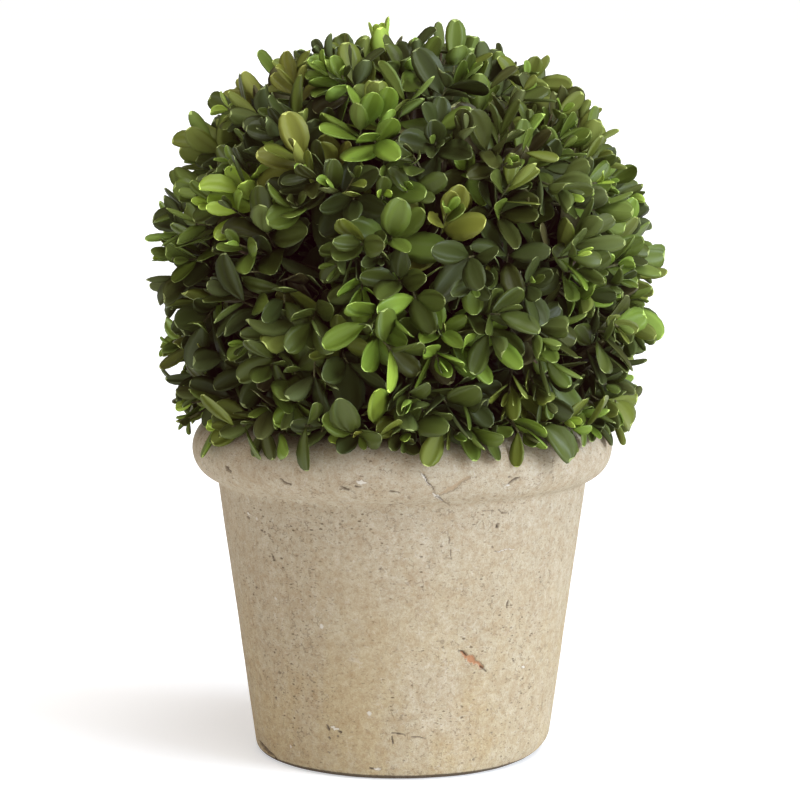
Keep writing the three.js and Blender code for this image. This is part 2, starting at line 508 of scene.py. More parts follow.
@dataclass(frozen=True)
class BarkFinish:
    """Thin, finely furrowed bark that runs along the limb."""

    name: str = "bark"
    furrow: Colour = (0.045, 0.03, 0.018)
    ridge: Colour = (0.19, 0.135, 0.085)
    relief: float = 0.4 * MM
    strands: Cloud = Cloud(420.0, 5.0, 0.65, 0.36, 0.3)
    strand_stretch: Triple = (1.0, 1.0, 0.22)
    patches: Cloud = Cloud(60.0, strength=0.8)
    shade: float = 0.6
    roughness: float = 0.85

    def material(self) -> bpy.types.Material:
        """Paints the bark."""
        paint = Paint(bpy.data.materials.new(self.name))
        strands = paint.noise(paint.places(self.strand_stretch), self.strands)
        ridges = strands.above(self.strands.level, self.strands.softness)
        colour = paint.mix(ridges, self.furrow, self.ridge)
        patches = paint.noise(paint.places(), self.patches)
        colour = paint.shade(colour, self.shade + self.patches.strength * patches)
        paint.principled({"Base Color": colour, "Roughness": self.roughness}, strands, self.relief)
        return paint.owner


YOUNG_BARK = ((0.05, 0.045, 0.015), (0.15, 0.15, 0.05), 0.15 * MM)  # furrow, ridge and relief


@dataclass(frozen=True)
class PlainFinish:
    """A finish that is the same all over, for things dealt out by spray."""

    name: str
    colour: Colour
    roughness: float
    gloss: float

    def material(self) -> bpy.types.Material:
        """Paints one even colour."""
        paint = Paint(bpy.data.materials.new(self.name))
        colour = (*self.colour, 1.0)
        shine = {"Roughness": self.roughness, "Specular IOR Level": self.gloss}
        paint.principled({"Base Color": colour, **shine})
        return paint.owner


@dataclass(frozen=True)
class Lift:
    """How a leaf's underside or edge differs from its blade."""

    base: Colour
    share: Colour
    roughness: float
    gloss: float = 0.2

    def finish(self, name: str, blade: Colour) -> PlainFinish:
        """The finish that goes with a blade."""
        red, green, blue = (low + part * tone for low, part, tone in zip(self.base, self.share, blade))
        return PlainFinish(name, (red, green, blue), self.roughness, self.gloss)


BLADE_ROUGHNESS = 0.41
UNDERSIDE = Lift((0.022, 0.026, 0.010), (1.05, 1.05, 1.1), 0.65)  # paler and yellower
LEAF_EDGE = Lift((0.200, 0.226, 0.110), (2.2, 2.1, 2.2), 0.55)  # thin, pale and horny


class Tint(Enum):
    """The colours of the sprays: the blade, its gloss and its share of the young sprays."""

    DEEP = ((0.047, 0.063, 0.0145), 0.22, 0.19)
    MOSS = ((0.062, 0.073, 0.0150), 0.20, 0.10)
    GREEN = ((0.073, 0.098, 0.0165), 0.24, 0.246)
    LEAF = ((0.108, 0.154, 0.0210), 0.24, 0.205)
    OLIVE = ((0.131, 0.160, 0.0215), 0.22, 0.13)
    FRESH = ((0.177, 0.270, 0.0320), 0.26, 0.089)
    LIME = ((0.315, 0.440, 0.0530), 0.24, 0.018)
    DULL = ((0.086, 0.108, 0.0340), 0.42, 0.020)
    STRAW = ((0.192, 0.205, 0.0320), 0.20, 0.008)
    OLD = ((0.068, 0.062, 0.0210), 0.24, 0.0)
    # partly painted shade: the brown of old leaves deep in the crown, darkened for the shade they lie in
    SHADE = ((0.038, 0.029, 0.0130), 0.12, 0.0)

    @property
    def blade(self) -> Colour:
        """The colour of the upper face."""
        return self.value[0]

    @property
    def share(self) -> float:
        """The part of the sprays that have this tint."""
        return self.value[2]

    def finishes(self) -> list[PlainFinish]:
        """The finishes of a leaf's blade, underside and margin, in slot order."""
        name = self.name.lower()
        return [
            PlainFinish(f"leaf_{name}", self.blade, BLADE_ROUGHNESS, self.value[1]),
            UNDERSIDE.finish(f"underleaf_{name}", self.blade),
            LEAF_EDGE.finish(f"leaf_edge_{name}", self.blade),
        ]


# ---------------------------------------------------------------- making pieces


def settle(piece: bpy.types.Object, node: str) -> bpy.types.Object:
    """Puts a finished piece on the body in place of its CAD node.

    Args:
        piece: The finished object.
        node: The CAD node that it stands for.

    Returns:
        The same object.
    """
    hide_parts(node)
    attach(piece, BODY)
    LOG.info("%s: %d vertices, %d faces", piece.name, len(piece.data.vertices), len(piece.data.polygons))
    return piece


def to_piece(name: str, mesh: bpy.types.Mesh, finishes: Sequence[bpy.types.Material]) -> bpy.types.Object:
    """Links a mesh to the scene with its finishes and smooth faces."""
    for finish in finishes:
        mesh.materials.append(finish)
    mesh.polygons.foreach_set("use_smooth", np.ones(len(mesh.polygons), bool))
    piece = bpy.data.objects.new(name, mesh)
    bpy.context.scene.collection.objects.link(piece)
    return piece


def from_bmesh(name: str, bm: bmesh.types.BMesh, finishes: Sequence[bpy.types.Material]) -> bpy.types.Object:
    """Turns a bmesh into a linked piece and frees it."""
    mesh = bpy.data.meshes.new(name)
    bm.to_mesh(mesh)
    bm.free()
    return to_piece(name, mesh, finishes)


def arc(centre: Vector, radius: float, start: float, end: float, steps: int) -> list[Vector]:
    """Points on an arc in the XZ plane.

    Args:
        centre: The arc's centre.
        radius: Its radius.
        start: First angle above the X axis, in degrees.
        end: Last angle.
        steps: How many steps lie between them.

    Returns:
        The points, both ends included.
    """
    points = []
    for i in range(steps + 1):
        angle = math.radians(start + (end - start) * i / steps)
        points.append(centre + radius * Vector((math.cos(angle), 0.0, math.sin(angle))))
    return points


def stretch(start: Vector, end: Vector, step: float) -> list[Vector]:
    """Points inside a straight stretch, about a step apart, with neither end."""
    count = max(1, round((end - start).length / step))
    return [start.lerp(end, i / count) for i in range(1, count)]


def in_order(bm: bmesh.types.BMesh) -> bmesh.types.BMesh:
    """Makes a mesh anew with its corners and faces in an order that is the same in every run.

    Args:
        bm: The mesh, which is freed.

    Returns:
        The same shape.
    """
    verts = sorted(bm.verts, key=lambda vert: vert.co.to_tuple())
    rank = {vert: i for i, vert in enumerate(verts)}
    faces = sorted([rank[vert] for vert in face.verts] for face in bm.faces)
    fresh = bmesh.new()
    corners = [fresh.verts.new(vert.co) for vert in verts]
    for face in faces:
        fresh.faces.new([corners[i] for i in face])
    bm.free()
    return fresh


SAME_PLACE = 0.001 * MM  # corners this close are one


def spun(outline: Sequence[Vector], steps: int) -> bmesh.types.BMesh:
    """Turns an outline in the XZ plane about the Z axis into a closed shell.

    Args:
        outline: Points from the axis round to the axis again.
        steps: How many steps make the full turn.

    Returns:
        The shell, with its poles closed and its faces outwards.
    """
    bm = bmesh.new()
    corners = [bm.verts.new(point) for point in outline]
    chain = [bm.edges.new(pair) for pair in zip(corners, corners[1:])]
    bmesh.ops.spin(
        bm, geom=corners + chain, cent=(0, 0, 0), axis=UP, dvec=(0, 0, 0),
        angle=math.tau, steps=steps, use_merge=True, use_duplicate=False,
    )
    bmesh.ops.remove_doubles(bm, verts=bm.verts[:], dist=SAME_PLACE)
    bmesh.ops.recalc_face_normals(bm, faces=bm.faces[:])
    return in_order(bm)


# ---------------------------------------------------------------- pot and soil


class MarkColour(Enum):
    """What shows inside a mark in the clay, with how strongly it covers."""

    SHADOW = (0.085, 0.062, 0.04, 0.85)
    SAND = (0.37, 0.275, 0.170, 0.85)
    BRICK = (0.42, 0.190, 0.085, 0.9)
    DUST = (0.68, 0.655, 0.59, 0.72)
    SELF = (0.60, 0.50, 0.345, 0.0)


MARK_TAPER = 0.55  # how much narrower a mark is at its ends than in its middle


@dataclass(frozen=True)
class Mark:
    """A pit, gouge, chip or scratch: a rounded groove between two places on the wall."""

    start: tuple[float, float]  # degrees round from the front, and height in mm
    end: tuple[float, float]
    width: float  # mm
    depth: float  # mm, and less than nothing stands proud
    colour: MarkColour = MarkColour.SHADOW

    def nearness(self, angles: np.ndarray, heights: np.ndarray, radius: float) -> np.ndarray:
        """How deep in the mark each place lies.

        Args:
            angles: Degrees round from the front.
            heights: Heights in mm.
            radius: Rough radius of the wall there, in mm.

        Returns:
            1 on the mark's spine, 0 at its edge, and less outside.
        """
        arc_mm = math.radians(1.0) * radius
        away = np.stack([(angles - self.start[0]) * arc_mm, heights - self.start[1]], -1)
        spine = np.array([(self.end[0] - self.start[0]) * arc_mm, self.end[1] - self.start[1]])
        length = float(spine @ spine)
        along = np.clip(away @ spine / length, 0.0, 1.0) if length > 0.0 else np.zeros(len(away))
        gap = np.linalg.norm(away - along[:, None] * spine, axis=1)
        narrow = 1.0 - MARK_TAPER * np.abs(2.0 * along - 1.0) if length > 0.0 else 1.0
        return 1.0 - gap / (0.5 * self.width * narrow)


@dataclass(frozen=True)
class MouldPits:
    """Small pits that the mould has strewn over the wall."""

    count: int = 190
    turn: float = 178.0  # degrees either way from the front
    lowest: float = 8.0  # mm
    rise: float = 146.0  # mm
    low_heavy: float = 1.25  # above 1, more of them lie low
    run: Pair = (0.7, 0.3)  # how far one may run, in degrees and in mm
    size: Pair = (0.8, 1.7)  # mm
    depth: float = 0.3  # as a part of its size
    seed: int = 5

    def marks(self) -> list[Mark]:
        """Strews the pits."""
        rng = Random(self.seed)
        strewn = []
        aside, up = self.run
        for _ in range(self.count):
            angle = rng.uniform(-self.turn, self.turn)
            height = self.lowest + self.rise * rng.random() ** self.low_heavy
            end = (angle + rng.uniform(-aside, aside), height + rng.uniform(-up, up))
            size = rng.uniform(*self.size)
            strewn.append(Mark((angle, height), end, size, self.depth * size))
        return strewn


@dataclass
class Pot:
    """The tapered pot with its rolled rim, worn foot and the marks of its making."""

    low: Vector = field(default_factory=lambda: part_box("pot")[0])
    high: Vector = field(default_factory=lambda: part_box("pot")[1])
    roll: float = 15.3 * MM  # radius of the rim's round section
    foot_radius: float = 70.9 * MM
    neck_radius: float = 88.6 * MM
    neck_height: float = 130.0 * MM
    foot_round: float = 4.5 * MM
    neck_round: float = 4.5 * MM
    wall: float = 13.0 * MM
    floor: float = 13.0 * MM
    well_round: float = 8.0 * MM
    grid: float = 1.9 * MM  # rough size of a face
    turn_steps: int = 300
    round_steps: int = 6
    roll_steps: int = 26
    lip_steps: int = 8
    fine_reaches: Pair = (1.4, 0.7)  # how far about a mark its faces are divided, in its half widths
    outer_part: float = 0.6  # the outer face lies beyond this part of the wall's thickness
    flat_under: float = 0.05  # mm, below which no mark is cut
    swells: tuple[Pair, ...] = ((0.22, 22.0), (0.09, 95.0))  # unevenness: mm, and cells to a metre
    wobble: float = 0.8 * MM  # how crooked the marks are
    wobble_scale: float = 330.0
    rag: float = 0.55  # how ragged their edges are
    rag_scale: float = 900.0
    edge_soft: float = 0.55  # the part of a mark's half width over which it deepens
    pits: MouldPits = MouldPits()
    marks: tuple[Mark, ...] = (
        Mark((9.5, 138.5), (17.5, 147.5), 2.6, 0.75, MarkColour.SAND),
        Mark((4.5, 151.0), (7.5, 143.5), 2.0, 0.5, MarkColour.DUST),
        Mark((5.5, 149.0), (8.5, 141.0), 0.9, 0.6),
        Mark((8.0, 140.5), (11.0, 135.5), 2.0, 0.5, MarkColour.DUST),
        Mark((9.0, 138.0), (14.0, 132.5), 0.9, 0.5),
        Mark((28.5, 142.5), (32.0, 146.0), 1.7, 0.8),
        Mark((27.5, 141.8), (29.5, 142.5), 1.2, -0.2, MarkColour.DUST),
        Mark((30.0, 121.0), (30.4, 121.3), 2.5, 0.9),
        Mark((20.5, 61.5), (29.0, 53.0), 4.3, 0.8, MarkColour.BRICK),
        Mark((19.5, 63.0), (22.5, 60.0), 1.1, 0.6),
        Mark((27.5, 54.0), (31.0, 50.5), 1.0, 0.6),
        Mark((-11.5, 146.0), (-9.5, 145.0), 2.9, -0.3, MarkColour.DUST),
        Mark((-12.5, 144.2), (-10.8, 143.3), 1.3, 0.6),
        Mark((-55.6, 123.2), (-54.4, 122.6), 2.9, -0.35, MarkColour.DUST),
        Mark((-56.6, 121.2), (-54.6, 120.8), 1.3, 0.5),
        Mark((-54.0, 147.0), (-52.5, 144.5), 2.8, 0.8),
        Mark((-33.5, 144.5), (-30.5, 142.0), 1.9, 0.6),
        Mark((-16.5, 143.0), (-14.0, 141.5), 1.5, 0.5),
        Mark((-3.5, 141.5), (-1.0, 140.5), 1.4, 0.5),
        Mark((-45.5, 105.5), (-44.0, 102.5), 1.5, 0.5),
        Mark((-68.2, 108.5), (-67.6, 107.8), 1.5, 0.5),
        Mark((46.3, 50.5), (47.6, 49.5), 2.5, -0.3, MarkColour.DUST),
        Mark((36.5, 81.5), (37.3, 84.5), 1.5, 0.7),
        Mark((13.5, 119.5), (15.0, 113.5), 0.9, 0.4),
        Mark((15.0, 113.5), (15.5, 106.5), 0.8, 0.35),
        Mark((27.5, 108.5), (33.5, 109.8), 1.0, 0.35),
        Mark((30.5, 109.3), (38.0, 109.8), 1.0, -0.3, MarkColour.DUST),
        Mark((23.5, 129.0), (30.0, 129.5), 0.8, 0.3),
        Mark((29.5, 129.3), (34.5, 126.0), 0.8, 0.3),
        Mark((-7.0, 124.8), (24.0, 123.8), 0.9, 0.22, MarkColour.SELF),
        Mark((-28.6, 25.2), (-27.4, 22.8), 1.6, 0.6),
        Mark((-26.6, 24.6), (-23.4, 24.2), 2.7, -0.3, MarkColour.DUST),
        Mark((-23.6, 23.2), (-22.2, 21.8), 1.6, 0.6),
        Mark((-28.0, 19.5), (-27.0, 18.4), 1.5, 0.5),
        Mark((-24.8, 20.4), (-23.2, 19.6), 1.3, 0.4),
        Mark((-4.0, 23.5), (2.0, 22.0), 1.0, 0.5),
        Mark((1.5, 22.0), (8.5, 20.8), 1.2, 0.5),
        Mark((-3.8, 21.5), (-3.4, 17.5), 1.6, 0.6),
        Mark((-12.5, 6.2), (-10.5, 5.2), 1.2, 0.7),
        Mark((-10.5, 5.6), (-8.0, 5.4), 2.8, 0.4, MarkColour.DUST),
        Mark((-74.0, 6.5), (-58.0, 2.6), 3.6, 1.1),
        Mark((71.0, 109.5), (71.5, 108.5), 1.5, 0.6),
        Mark((-49.5, 116.5), (-48.8, 115.5), 1.3, 0.5),
        Mark((-67.0, 105.5), (-66.5, 104.5), 1.5, 0.5),
        Mark((118.0, 92.0), (124.0, 84.0), 2.2, 0.7, MarkColour.SAND),
        Mark((150.0, 146.0), (156.0, 150.0), 2.0, 0.6),
        Mark((171.0, 40.0), (178.0, 43.0), 2.4, 0.6, MarkColour.DUST),
        Mark((-112.0, 70.0), (-106.0, 63.0), 1.8, 0.6),
        Mark((-148.0, 143.0), (-141.0, 147.0), 2.4, 0.6, MarkColour.SAND),
    )
    wear_angle: float = 80.0  # the foot is most worn this far round from the front, in degrees
    wear_spread: float = 44.0
    worn_round: float = 9.5 * MM
    wear_from: float = 0.7  # as a part of the foot's radius
    wear_fade: int = 12  # how quickly the wear ends towards the middle

    def __post_init__(self) -> None:
        """Works out the rim, the slope of the wall and the inner wall."""
        self.rim_radius = 0.5 * (self.high.x - self.low.x)
        self.height = self.high.z
        self.roll_centre = Vector((self.rim_radius - self.roll, 0.0, self.height - self.roll))
        self.slope = (self.neck_radius - self.foot_radius) / self.neck_height
        self.tilt = math.atan(self.slope)
        self.inner_foot = self.foot_radius - self.wall / math.cos(self.tilt)

    def tangent_centre(self, foot: float, level: float, radius: float) -> Vector:
        """Centre of a round that touches a level surface and a sloping wall outside it."""
        height = level + radius
        return Vector((foot + self.slope * height - radius / math.cos(self.tilt), 0.0, height))

    def hollow_centre(self) -> Vector:
        """Centre of the hollow between the outer wall and the rolled rim."""
        reach = self.roll + self.neck_round
        start = self.foot_radius + self.neck_round / math.cos(self.tilt) - self.roll_centre.x
        a = 1.0 + self.slope**2
        b = 2.0 * (start * self.slope - self.roll_centre.z)
        c = start**2 + self.roll_centre.z**2 - reach**2
        height = (-b - math.sqrt(b * b - 4.0 * a * c)) / (2.0 * a)
        return Vector((start + self.roll_centre.x + self.slope * height, 0.0, height))

    def outline(self) -> list[Vector]:
        """The pot's half section, from the centre of its underside round to its inner floor."""
        tilt = math.degrees(self.tilt)
        hollow = self.hollow_centre()
        toward = self.roll_centre - hollow
        bearing = math.degrees(math.atan2(toward.z, toward.x))
        lip_room = self.roll_centre.x - self.inner_foot - self.slope * self.height
        lip = lip_room / (1.0 / math.cos(self.tilt) - self.slope)
        lip_centre = Vector((self.roll_centre.x, 0.0, self.height - lip))
        foot = self.tangent_centre(self.foot_radius, 0.0, self.foot_round)
        well = self.tangent_centre(self.inner_foot, self.floor, self.well_round)
        runs = [
            [Vector((0.0, 0.0, 0.0))],
            arc(foot, self.foot_round, -90.0, -tilt, self.round_steps),
            arc(hollow, self.neck_round, 180.0 - tilt, bearing, self.round_steps),
            arc(self.roll_centre, self.roll, bearing - 180.0, 90.0, self.roll_steps)[1:],
            arc(lip_centre, lip, 90.0, 180.0 - tilt, self.lip_steps)[1:],
            arc(well, self.well_round, -tilt, -90.0, self.round_steps),
            [Vector((0.0, 0.0, self.floor))],
        ]
        points: list[Vector] = []
        for run in runs:
            if points:
                points += stretch(points[-1], run[0], self.grid)
            points += run
        return points

    def places(self, bm: bmesh.types.BMesh) -> tuple[np.ndarray, np.ndarray, np.ndarray]:
        """Angles in degrees, heights in mm and radii in mm of a mesh's vertices."""
        points = np.array([v.co for v in bm.verts]) / MM
        angles = np.degrees(np.arctan2(points[:, 0], -points[:, 1]))
        return angles, points[:, 2], np.hypot(points[:, 0], points[:, 1])

    def outside(self, heights: np.ndarray, radii: np.ndarray) -> np.ndarray:
        """Which places, by height and radius in mm, lie on the outer face of the wall."""
        return radii > self.inner_foot / MM + self.slope * heights + self.outer_part * self.wall / MM

    def radius_at(self, mark: Mark) -> float:
        """Rough radius of the wall where a mark begins, in mm."""
        return (self.foot_radius + self.slope * mark.start[1] * MM) / MM

    def refine(self, bm: bmesh.types.BMesh, marks: Sequence[Mark], reach: float) -> bmesh.types.BMesh:
        """Divides the outer faces near the marks once more.

        Args:
            bm: The pot's mesh.
            marks: The marks.
            reach: How far outside a mark the finer faces go, in its half widths.

        Returns:
            The finer mesh, in place of the one that was given.
        """
        angles, heights, radii = self.places(bm)
        outer = self.outside(heights, radii)
        near = np.zeros(len(angles), bool)
        for mark in marks:
            near |= outer & (mark.nearness(angles, heights, self.radius_at(mark)) > -reach)
        bm.verts.ensure_lookup_table()
        chosen = dict.fromkeys(edge for i in np.flatnonzero(near) for edge in bm.verts[i].link_edges)
        bmesh.ops.subdivide_edges(bm, edges=list(chosen), cuts=1, use_grid_fill=True)
        return in_order(bm)

    def weather(self, bm: bmesh.types.BMesh, marks: Sequence[Mark]) -> None:
        """Moves the surface: slow unevenness, the worn foot and every mark.

        Args:
            bm: The pot's mesh, which also gets the colours of its marks.
            marks: The marks.
        """
        bm.normal_update()
        angles, heights, radii = self.places(bm)
        outer = self.outside(heights, radii) & (heights > self.flat_under)
        drop = np.zeros(len(angles))
        colours = np.tile(np.array(MarkColour.SELF.value), (len(angles), 1))
        ragged = self.rag * np.array([noise.noise(v.co * self.rag_scale) for v in bm.verts])
        wobble = np.array([noise.noise_vector(v.co * self.wobble_scale) for v in bm.verts])
        wobble = wobble * self.wobble / MM
        for mark in marks:
            radius = self.radius_at(mark)
            turned = angles + np.degrees(wobble[:, 0] / radius)
            inside = mark.nearness(turned, heights + wobble[:, 1], radius) + ragged
            body = np.clip(inside / self.edge_soft, 0.0, 1.0)
            body = body * body * (3.0 - 2.0 * body) * outer
            drop += mark.depth * MM * body
            cover = (body * mark.colour.value[3])[:, None]
            colours[:, :3] = colours[:, :3] * (1.0 - cover) + np.array(mark.colour.value[:3]) * cover
            colours[:, 3] = np.maximum(colours[:, 3], cover[:, 0])
        layer = bm.verts.layers.float_color.new(ClayFinish.mark_attribute)
        for vert, depth, colour, outside in zip(bm.verts, drop, colours, outer):
            vert[layer] = colour
            if outside:
                uneven = sum(size * noise.noise(vert.co * scale) for size, scale in self.swells)
                vert.co += vert.normal * (uneven * MM - depth)
        for vert, angle, radius in zip(bm.verts, angles, radii * MM):
            if vert.co.z < self.worn_round and radius > self.wear_from * self.foot_radius:
                away = (angle - self.wear_angle) / self.wear_spread
                vert.co.xy *= 1.0 - self.wear(vert.co.z, radius) * math.exp(-away * away) / radius

    def wear(self, height: float, radius: float) -> float:
        """How far the worn foot stands back from the sharper one.

        Args:
            height: Height above the underside.
            radius: Distance from the axis.

        Returns:
            The distance in metres.
        """
        def inset(round_radius: float) -> float:
            """How far a round stands back from the wall at this height."""
            rest = max(round_radius - max(height, 0.0), 0.0)
            return round_radius - math.sqrt(round_radius**2 - rest**2)

        under = min(radius / (self.foot_radius - self.foot_round), 1.0)
        return (inset(self.worn_round) - inset(self.foot_round)) * under**self.wear_fade

    def build(self) -> bpy.types.Object:
        """Makes the pot.

        Returns:
            The finished piece.
        """
        marks = [*self.marks, *self.pits.marks()]
        bm = spun(self.outline(), self.turn_steps)
        for reach in self.fine_reaches:
            bm = self.refine(bm, marks, reach)
        self.weather(bm, marks)
        for vert in bm.verts:
            vert.co.z = max(vert.co.z, 0.0)
        piece = from_bmesh("clay_pot", bm, [ClayFinish().material()])
        return settle(piece, "pot")

    def holds(self, points: np.ndarray, margin: float) -> bool:
        """Whether any of some points lies in the clay or in the mouth's shadow under the rim.

        Args:
            points: Points as rows.
            margin: How clear of the clay they must stay.

        Returns:
            True if one is not clear.
        """
        radius = np.hypot(points[:, 0], points[:, 1])
        height = points[:, 2] - self.roll_centre.z
        in_roll = np.hypot(radius - self.roll_centre.x, height) < self.roll + margin
        in_wall = (height < 0.0) & (radius < self.rim_radius) & (radius > self.inner_foot)
        return bool(np.any(in_roll | in_wall))


@dataclass
class PottingMix:
    """The mix that fills the pot, with loose crumbs on top."""

    pot: Pot
    low: Vector = field(default_factory=lambda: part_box("soil")[0])
    high: Vector = field(default_factory=lambda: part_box("soil")[1])
    foot_gap: float = 4.0 * MM
    edge_drop: float = 2.0 * MM
    level_part: float = 0.3  # the part of the top's radius that is level
    lump: float = 1.1 * MM
    lump_sink: float = 0.6  # how far the lumps are sunk, as a part of their size
    lump_scale: float = 110.0
    lump_fractal: tuple[float, float, int] = (0.8, 2.0, 4)  # H, lacunarity and octaves
    still_edge: float = 0.5 * MM
    grid: float = 2.5 * MM
    turn_steps: int = 120
    crumbs: int = 220
    crumb_reach: float = 0.94  # as a part of the top's radius
    crumb_size: Pair = (0.7 * MM, 2.2 * MM)
    crumb_dent: float = 0.4  # as a part of its size
    crumb_scale: float = 600.0
    seed: int = 11

    def build(self) -> bpy.types.Object:
        """Makes the mounded surface and its crumbs as one piece."""
        edge = self.high.x
        bm = spun(self.outline(edge), self.turn_steps)
        for vert in bm.verts:
            inside = math.hypot(vert.co.x, vert.co.y) < edge - self.still_edge
            if inside and vert.co.z > self.high.z - 2.0 * self.edge_drop:
                lump = noise.fractal(vert.co * self.lump_scale, *self.lump_fractal)
                vert.co.z += self.lump * lump - self.lump_sink * self.lump
        self.strew(bm, edge)
        piece = from_bmesh("potting_mix", bm, [EarthFinish().material()])
        return settle(piece, "soil")

    def outline(self, edge: float) -> list[Vector]:
        """The mix's half section, from the centre of its foot round to the centre of its top."""
        foot = edge - (self.high.z - self.low.z) * self.pot.slope
        corners = [
            Vector((0.0, 0.0, self.low.z)),
            Vector((foot - self.foot_gap, 0.0, self.low.z)),
            Vector((edge, 0.0, self.high.z - self.edge_drop)),
            Vector((self.level_part * edge, 0.0, self.high.z)),
            Vector((0.0, 0.0, self.high.z)),
        ]
        outline = corners[:3]
        for start, end in zip(corners[2:], corners[3:]):
            outline += [*stretch(start, end, self.grid), end]
        return outline

    def strew(self, bm: bmesh.types.BMesh, edge: float) -> None:
        """Adds the loose crumbs to the mix's mesh, inside its edge."""
        rng = Random(self.seed)
        for _ in range(self.crumbs):
            angle = rng.uniform(0.0, math.tau)
            radius = edge * self.crumb_reach * math.sqrt(rng.random())
            size = rng.uniform(*self.crumb_size)
            height = self.high.z - self.edge_drop * radius / edge
            place = Matrix.Translation((radius * math.cos(angle), radius * math.sin(angle), height))
            crumb = bmesh.ops.create_icosphere(bm, subdivisions=1, radius=size, matrix=place)["verts"]
            for vert in crumb:
                vert.co += Vector(noise.noise_vector(vert.co * self.crumb_scale)) * size * self.crumb_dent


# ---------------------------------------------------------------- patterns that are copied


@dataclass(frozen=True)
class Pattern:
    """A capped tube as rows of corners, which limbs and leaves bend to their own shapes."""

    rows: np.ndarray  # each corner's row, from 0 at the base
    columns: np.ndarray  # each corner's place round its row
    loops: np.ndarray  # corners of all faces, one after another
    starts: np.ndarray  # where each face begins in the loops
    row_count: int
    column_count: int

    @classmethod
    def tube(cls, columns: int, rows: int) -> "Pattern":
        """Makes the tube by drawing one ring out again and again.

        Args:
            columns: Corners in a ring.
            rows: How many rings.

        Returns:
            The pattern.
        """
        bm = bmesh.new()
        bmesh.ops.create_circle(bm, cap_ends=True, radius=1.0, segments=columns)
        ring = bm.edges[:]
        for _ in range(rows - 1):
            drawn = bmesh.ops.extrude_edge_only(bm, edges=ring)["geom"]
            corners = {item for item in drawn if isinstance(item, bmesh.types.BMVert)}
            bmesh.ops.translate(bm, verts=list(corners), vec=UP)
            edges = [item for item in drawn if isinstance(item, bmesh.types.BMEdge)]
            ring = [edge for edge in edges if corners.issuperset(edge.verts)]
        bmesh.ops.contextual_create(bm, geom=ring)
        bmesh.ops.recalc_face_normals(bm, faces=bm.faces[:])
        places = np.array([v.co for v in bm.verts])
        turns = np.arctan2(places[:, 1], places[:, 0]) / math.tau * columns
        faces = sorted([vert.index for vert in face.verts] for face in bm.faces)
        sizes = [len(face) for face in faces]
        pattern = cls(
            rows=np.rint(places[:, 2]).astype(int),
            columns=np.rint(turns).astype(int) % columns,
            loops=np.array([corner for face in faces for corner in face]),
            starts=np.cumsum([0, *sizes[:-1]]),
            row_count=rows,
            column_count=columns,
        )
        bm.free()
        return pattern

    def face_rows(self) -> np.ndarray:
        """The lowest row that each face touches."""
        return np.minimum.reduceat(self.rows[self.loops], self.starts)

    def strips(self) -> np.ndarray:
        """Which strip of the tube each face lies in, or -1 for a cap."""
        found = []
        for face in np.split(self.loops, self.starts[1:]):
            columns = set(self.columns[face].tolist())
            wraps = columns == {0, self.column_count - 1}
            found.append(-1 if len(columns) > 2 else max(columns) if wraps else min(columns))
        return np.array(found)

    def join(self, name: str, copies: np.ndarray, kinds: np.ndarray | None = None) -> bpy.types.Mesh:
        """Joins bent copies of the pattern into one mesh.

        Args:
            name: The mesh's name.
            copies: The corners of every copy, as an array of copies, corners and coordinates.
            kinds: The finish of each face of the pattern.

        Returns:
            The joined mesh.
        """
        count, corners = copies.shape[:2]
        shift = np.arange(count)[:, None]
        corner_indices = (self.loops + shift * corners).ravel().astype(np.int32)
        face_starts = (self.starts + shift * len(self.loops)).ravel().astype(np.int32)
        mesh = bpy.data.meshes.new(name)
        mesh.vertices.add(count * corners)
        mesh.vertices.foreach_set("co", copies.astype(np.float32).ravel())
        mesh.loops.add(count * len(self.loops))
        mesh.loops.foreach_set("vertex_index", corner_indices)
        mesh.polygons.add(count * len(self.starts))
        mesh.polygons.foreach_set("loop_start", face_starts)
        if kinds is not None:
            mesh.polygons.foreach_set("material_index", np.tile(kinds, count).astype(np.int32))
        mesh.update(calc_edges=True)
        return mesh


# ---------------------------------------------------------------- wood


@dataclass(frozen=True)
class Limb:
    """One tapering limb on a smooth curve from its fork to the next."""

    start: Vector
    knee: Vector
    end: Vector
    base: float
    tip: float


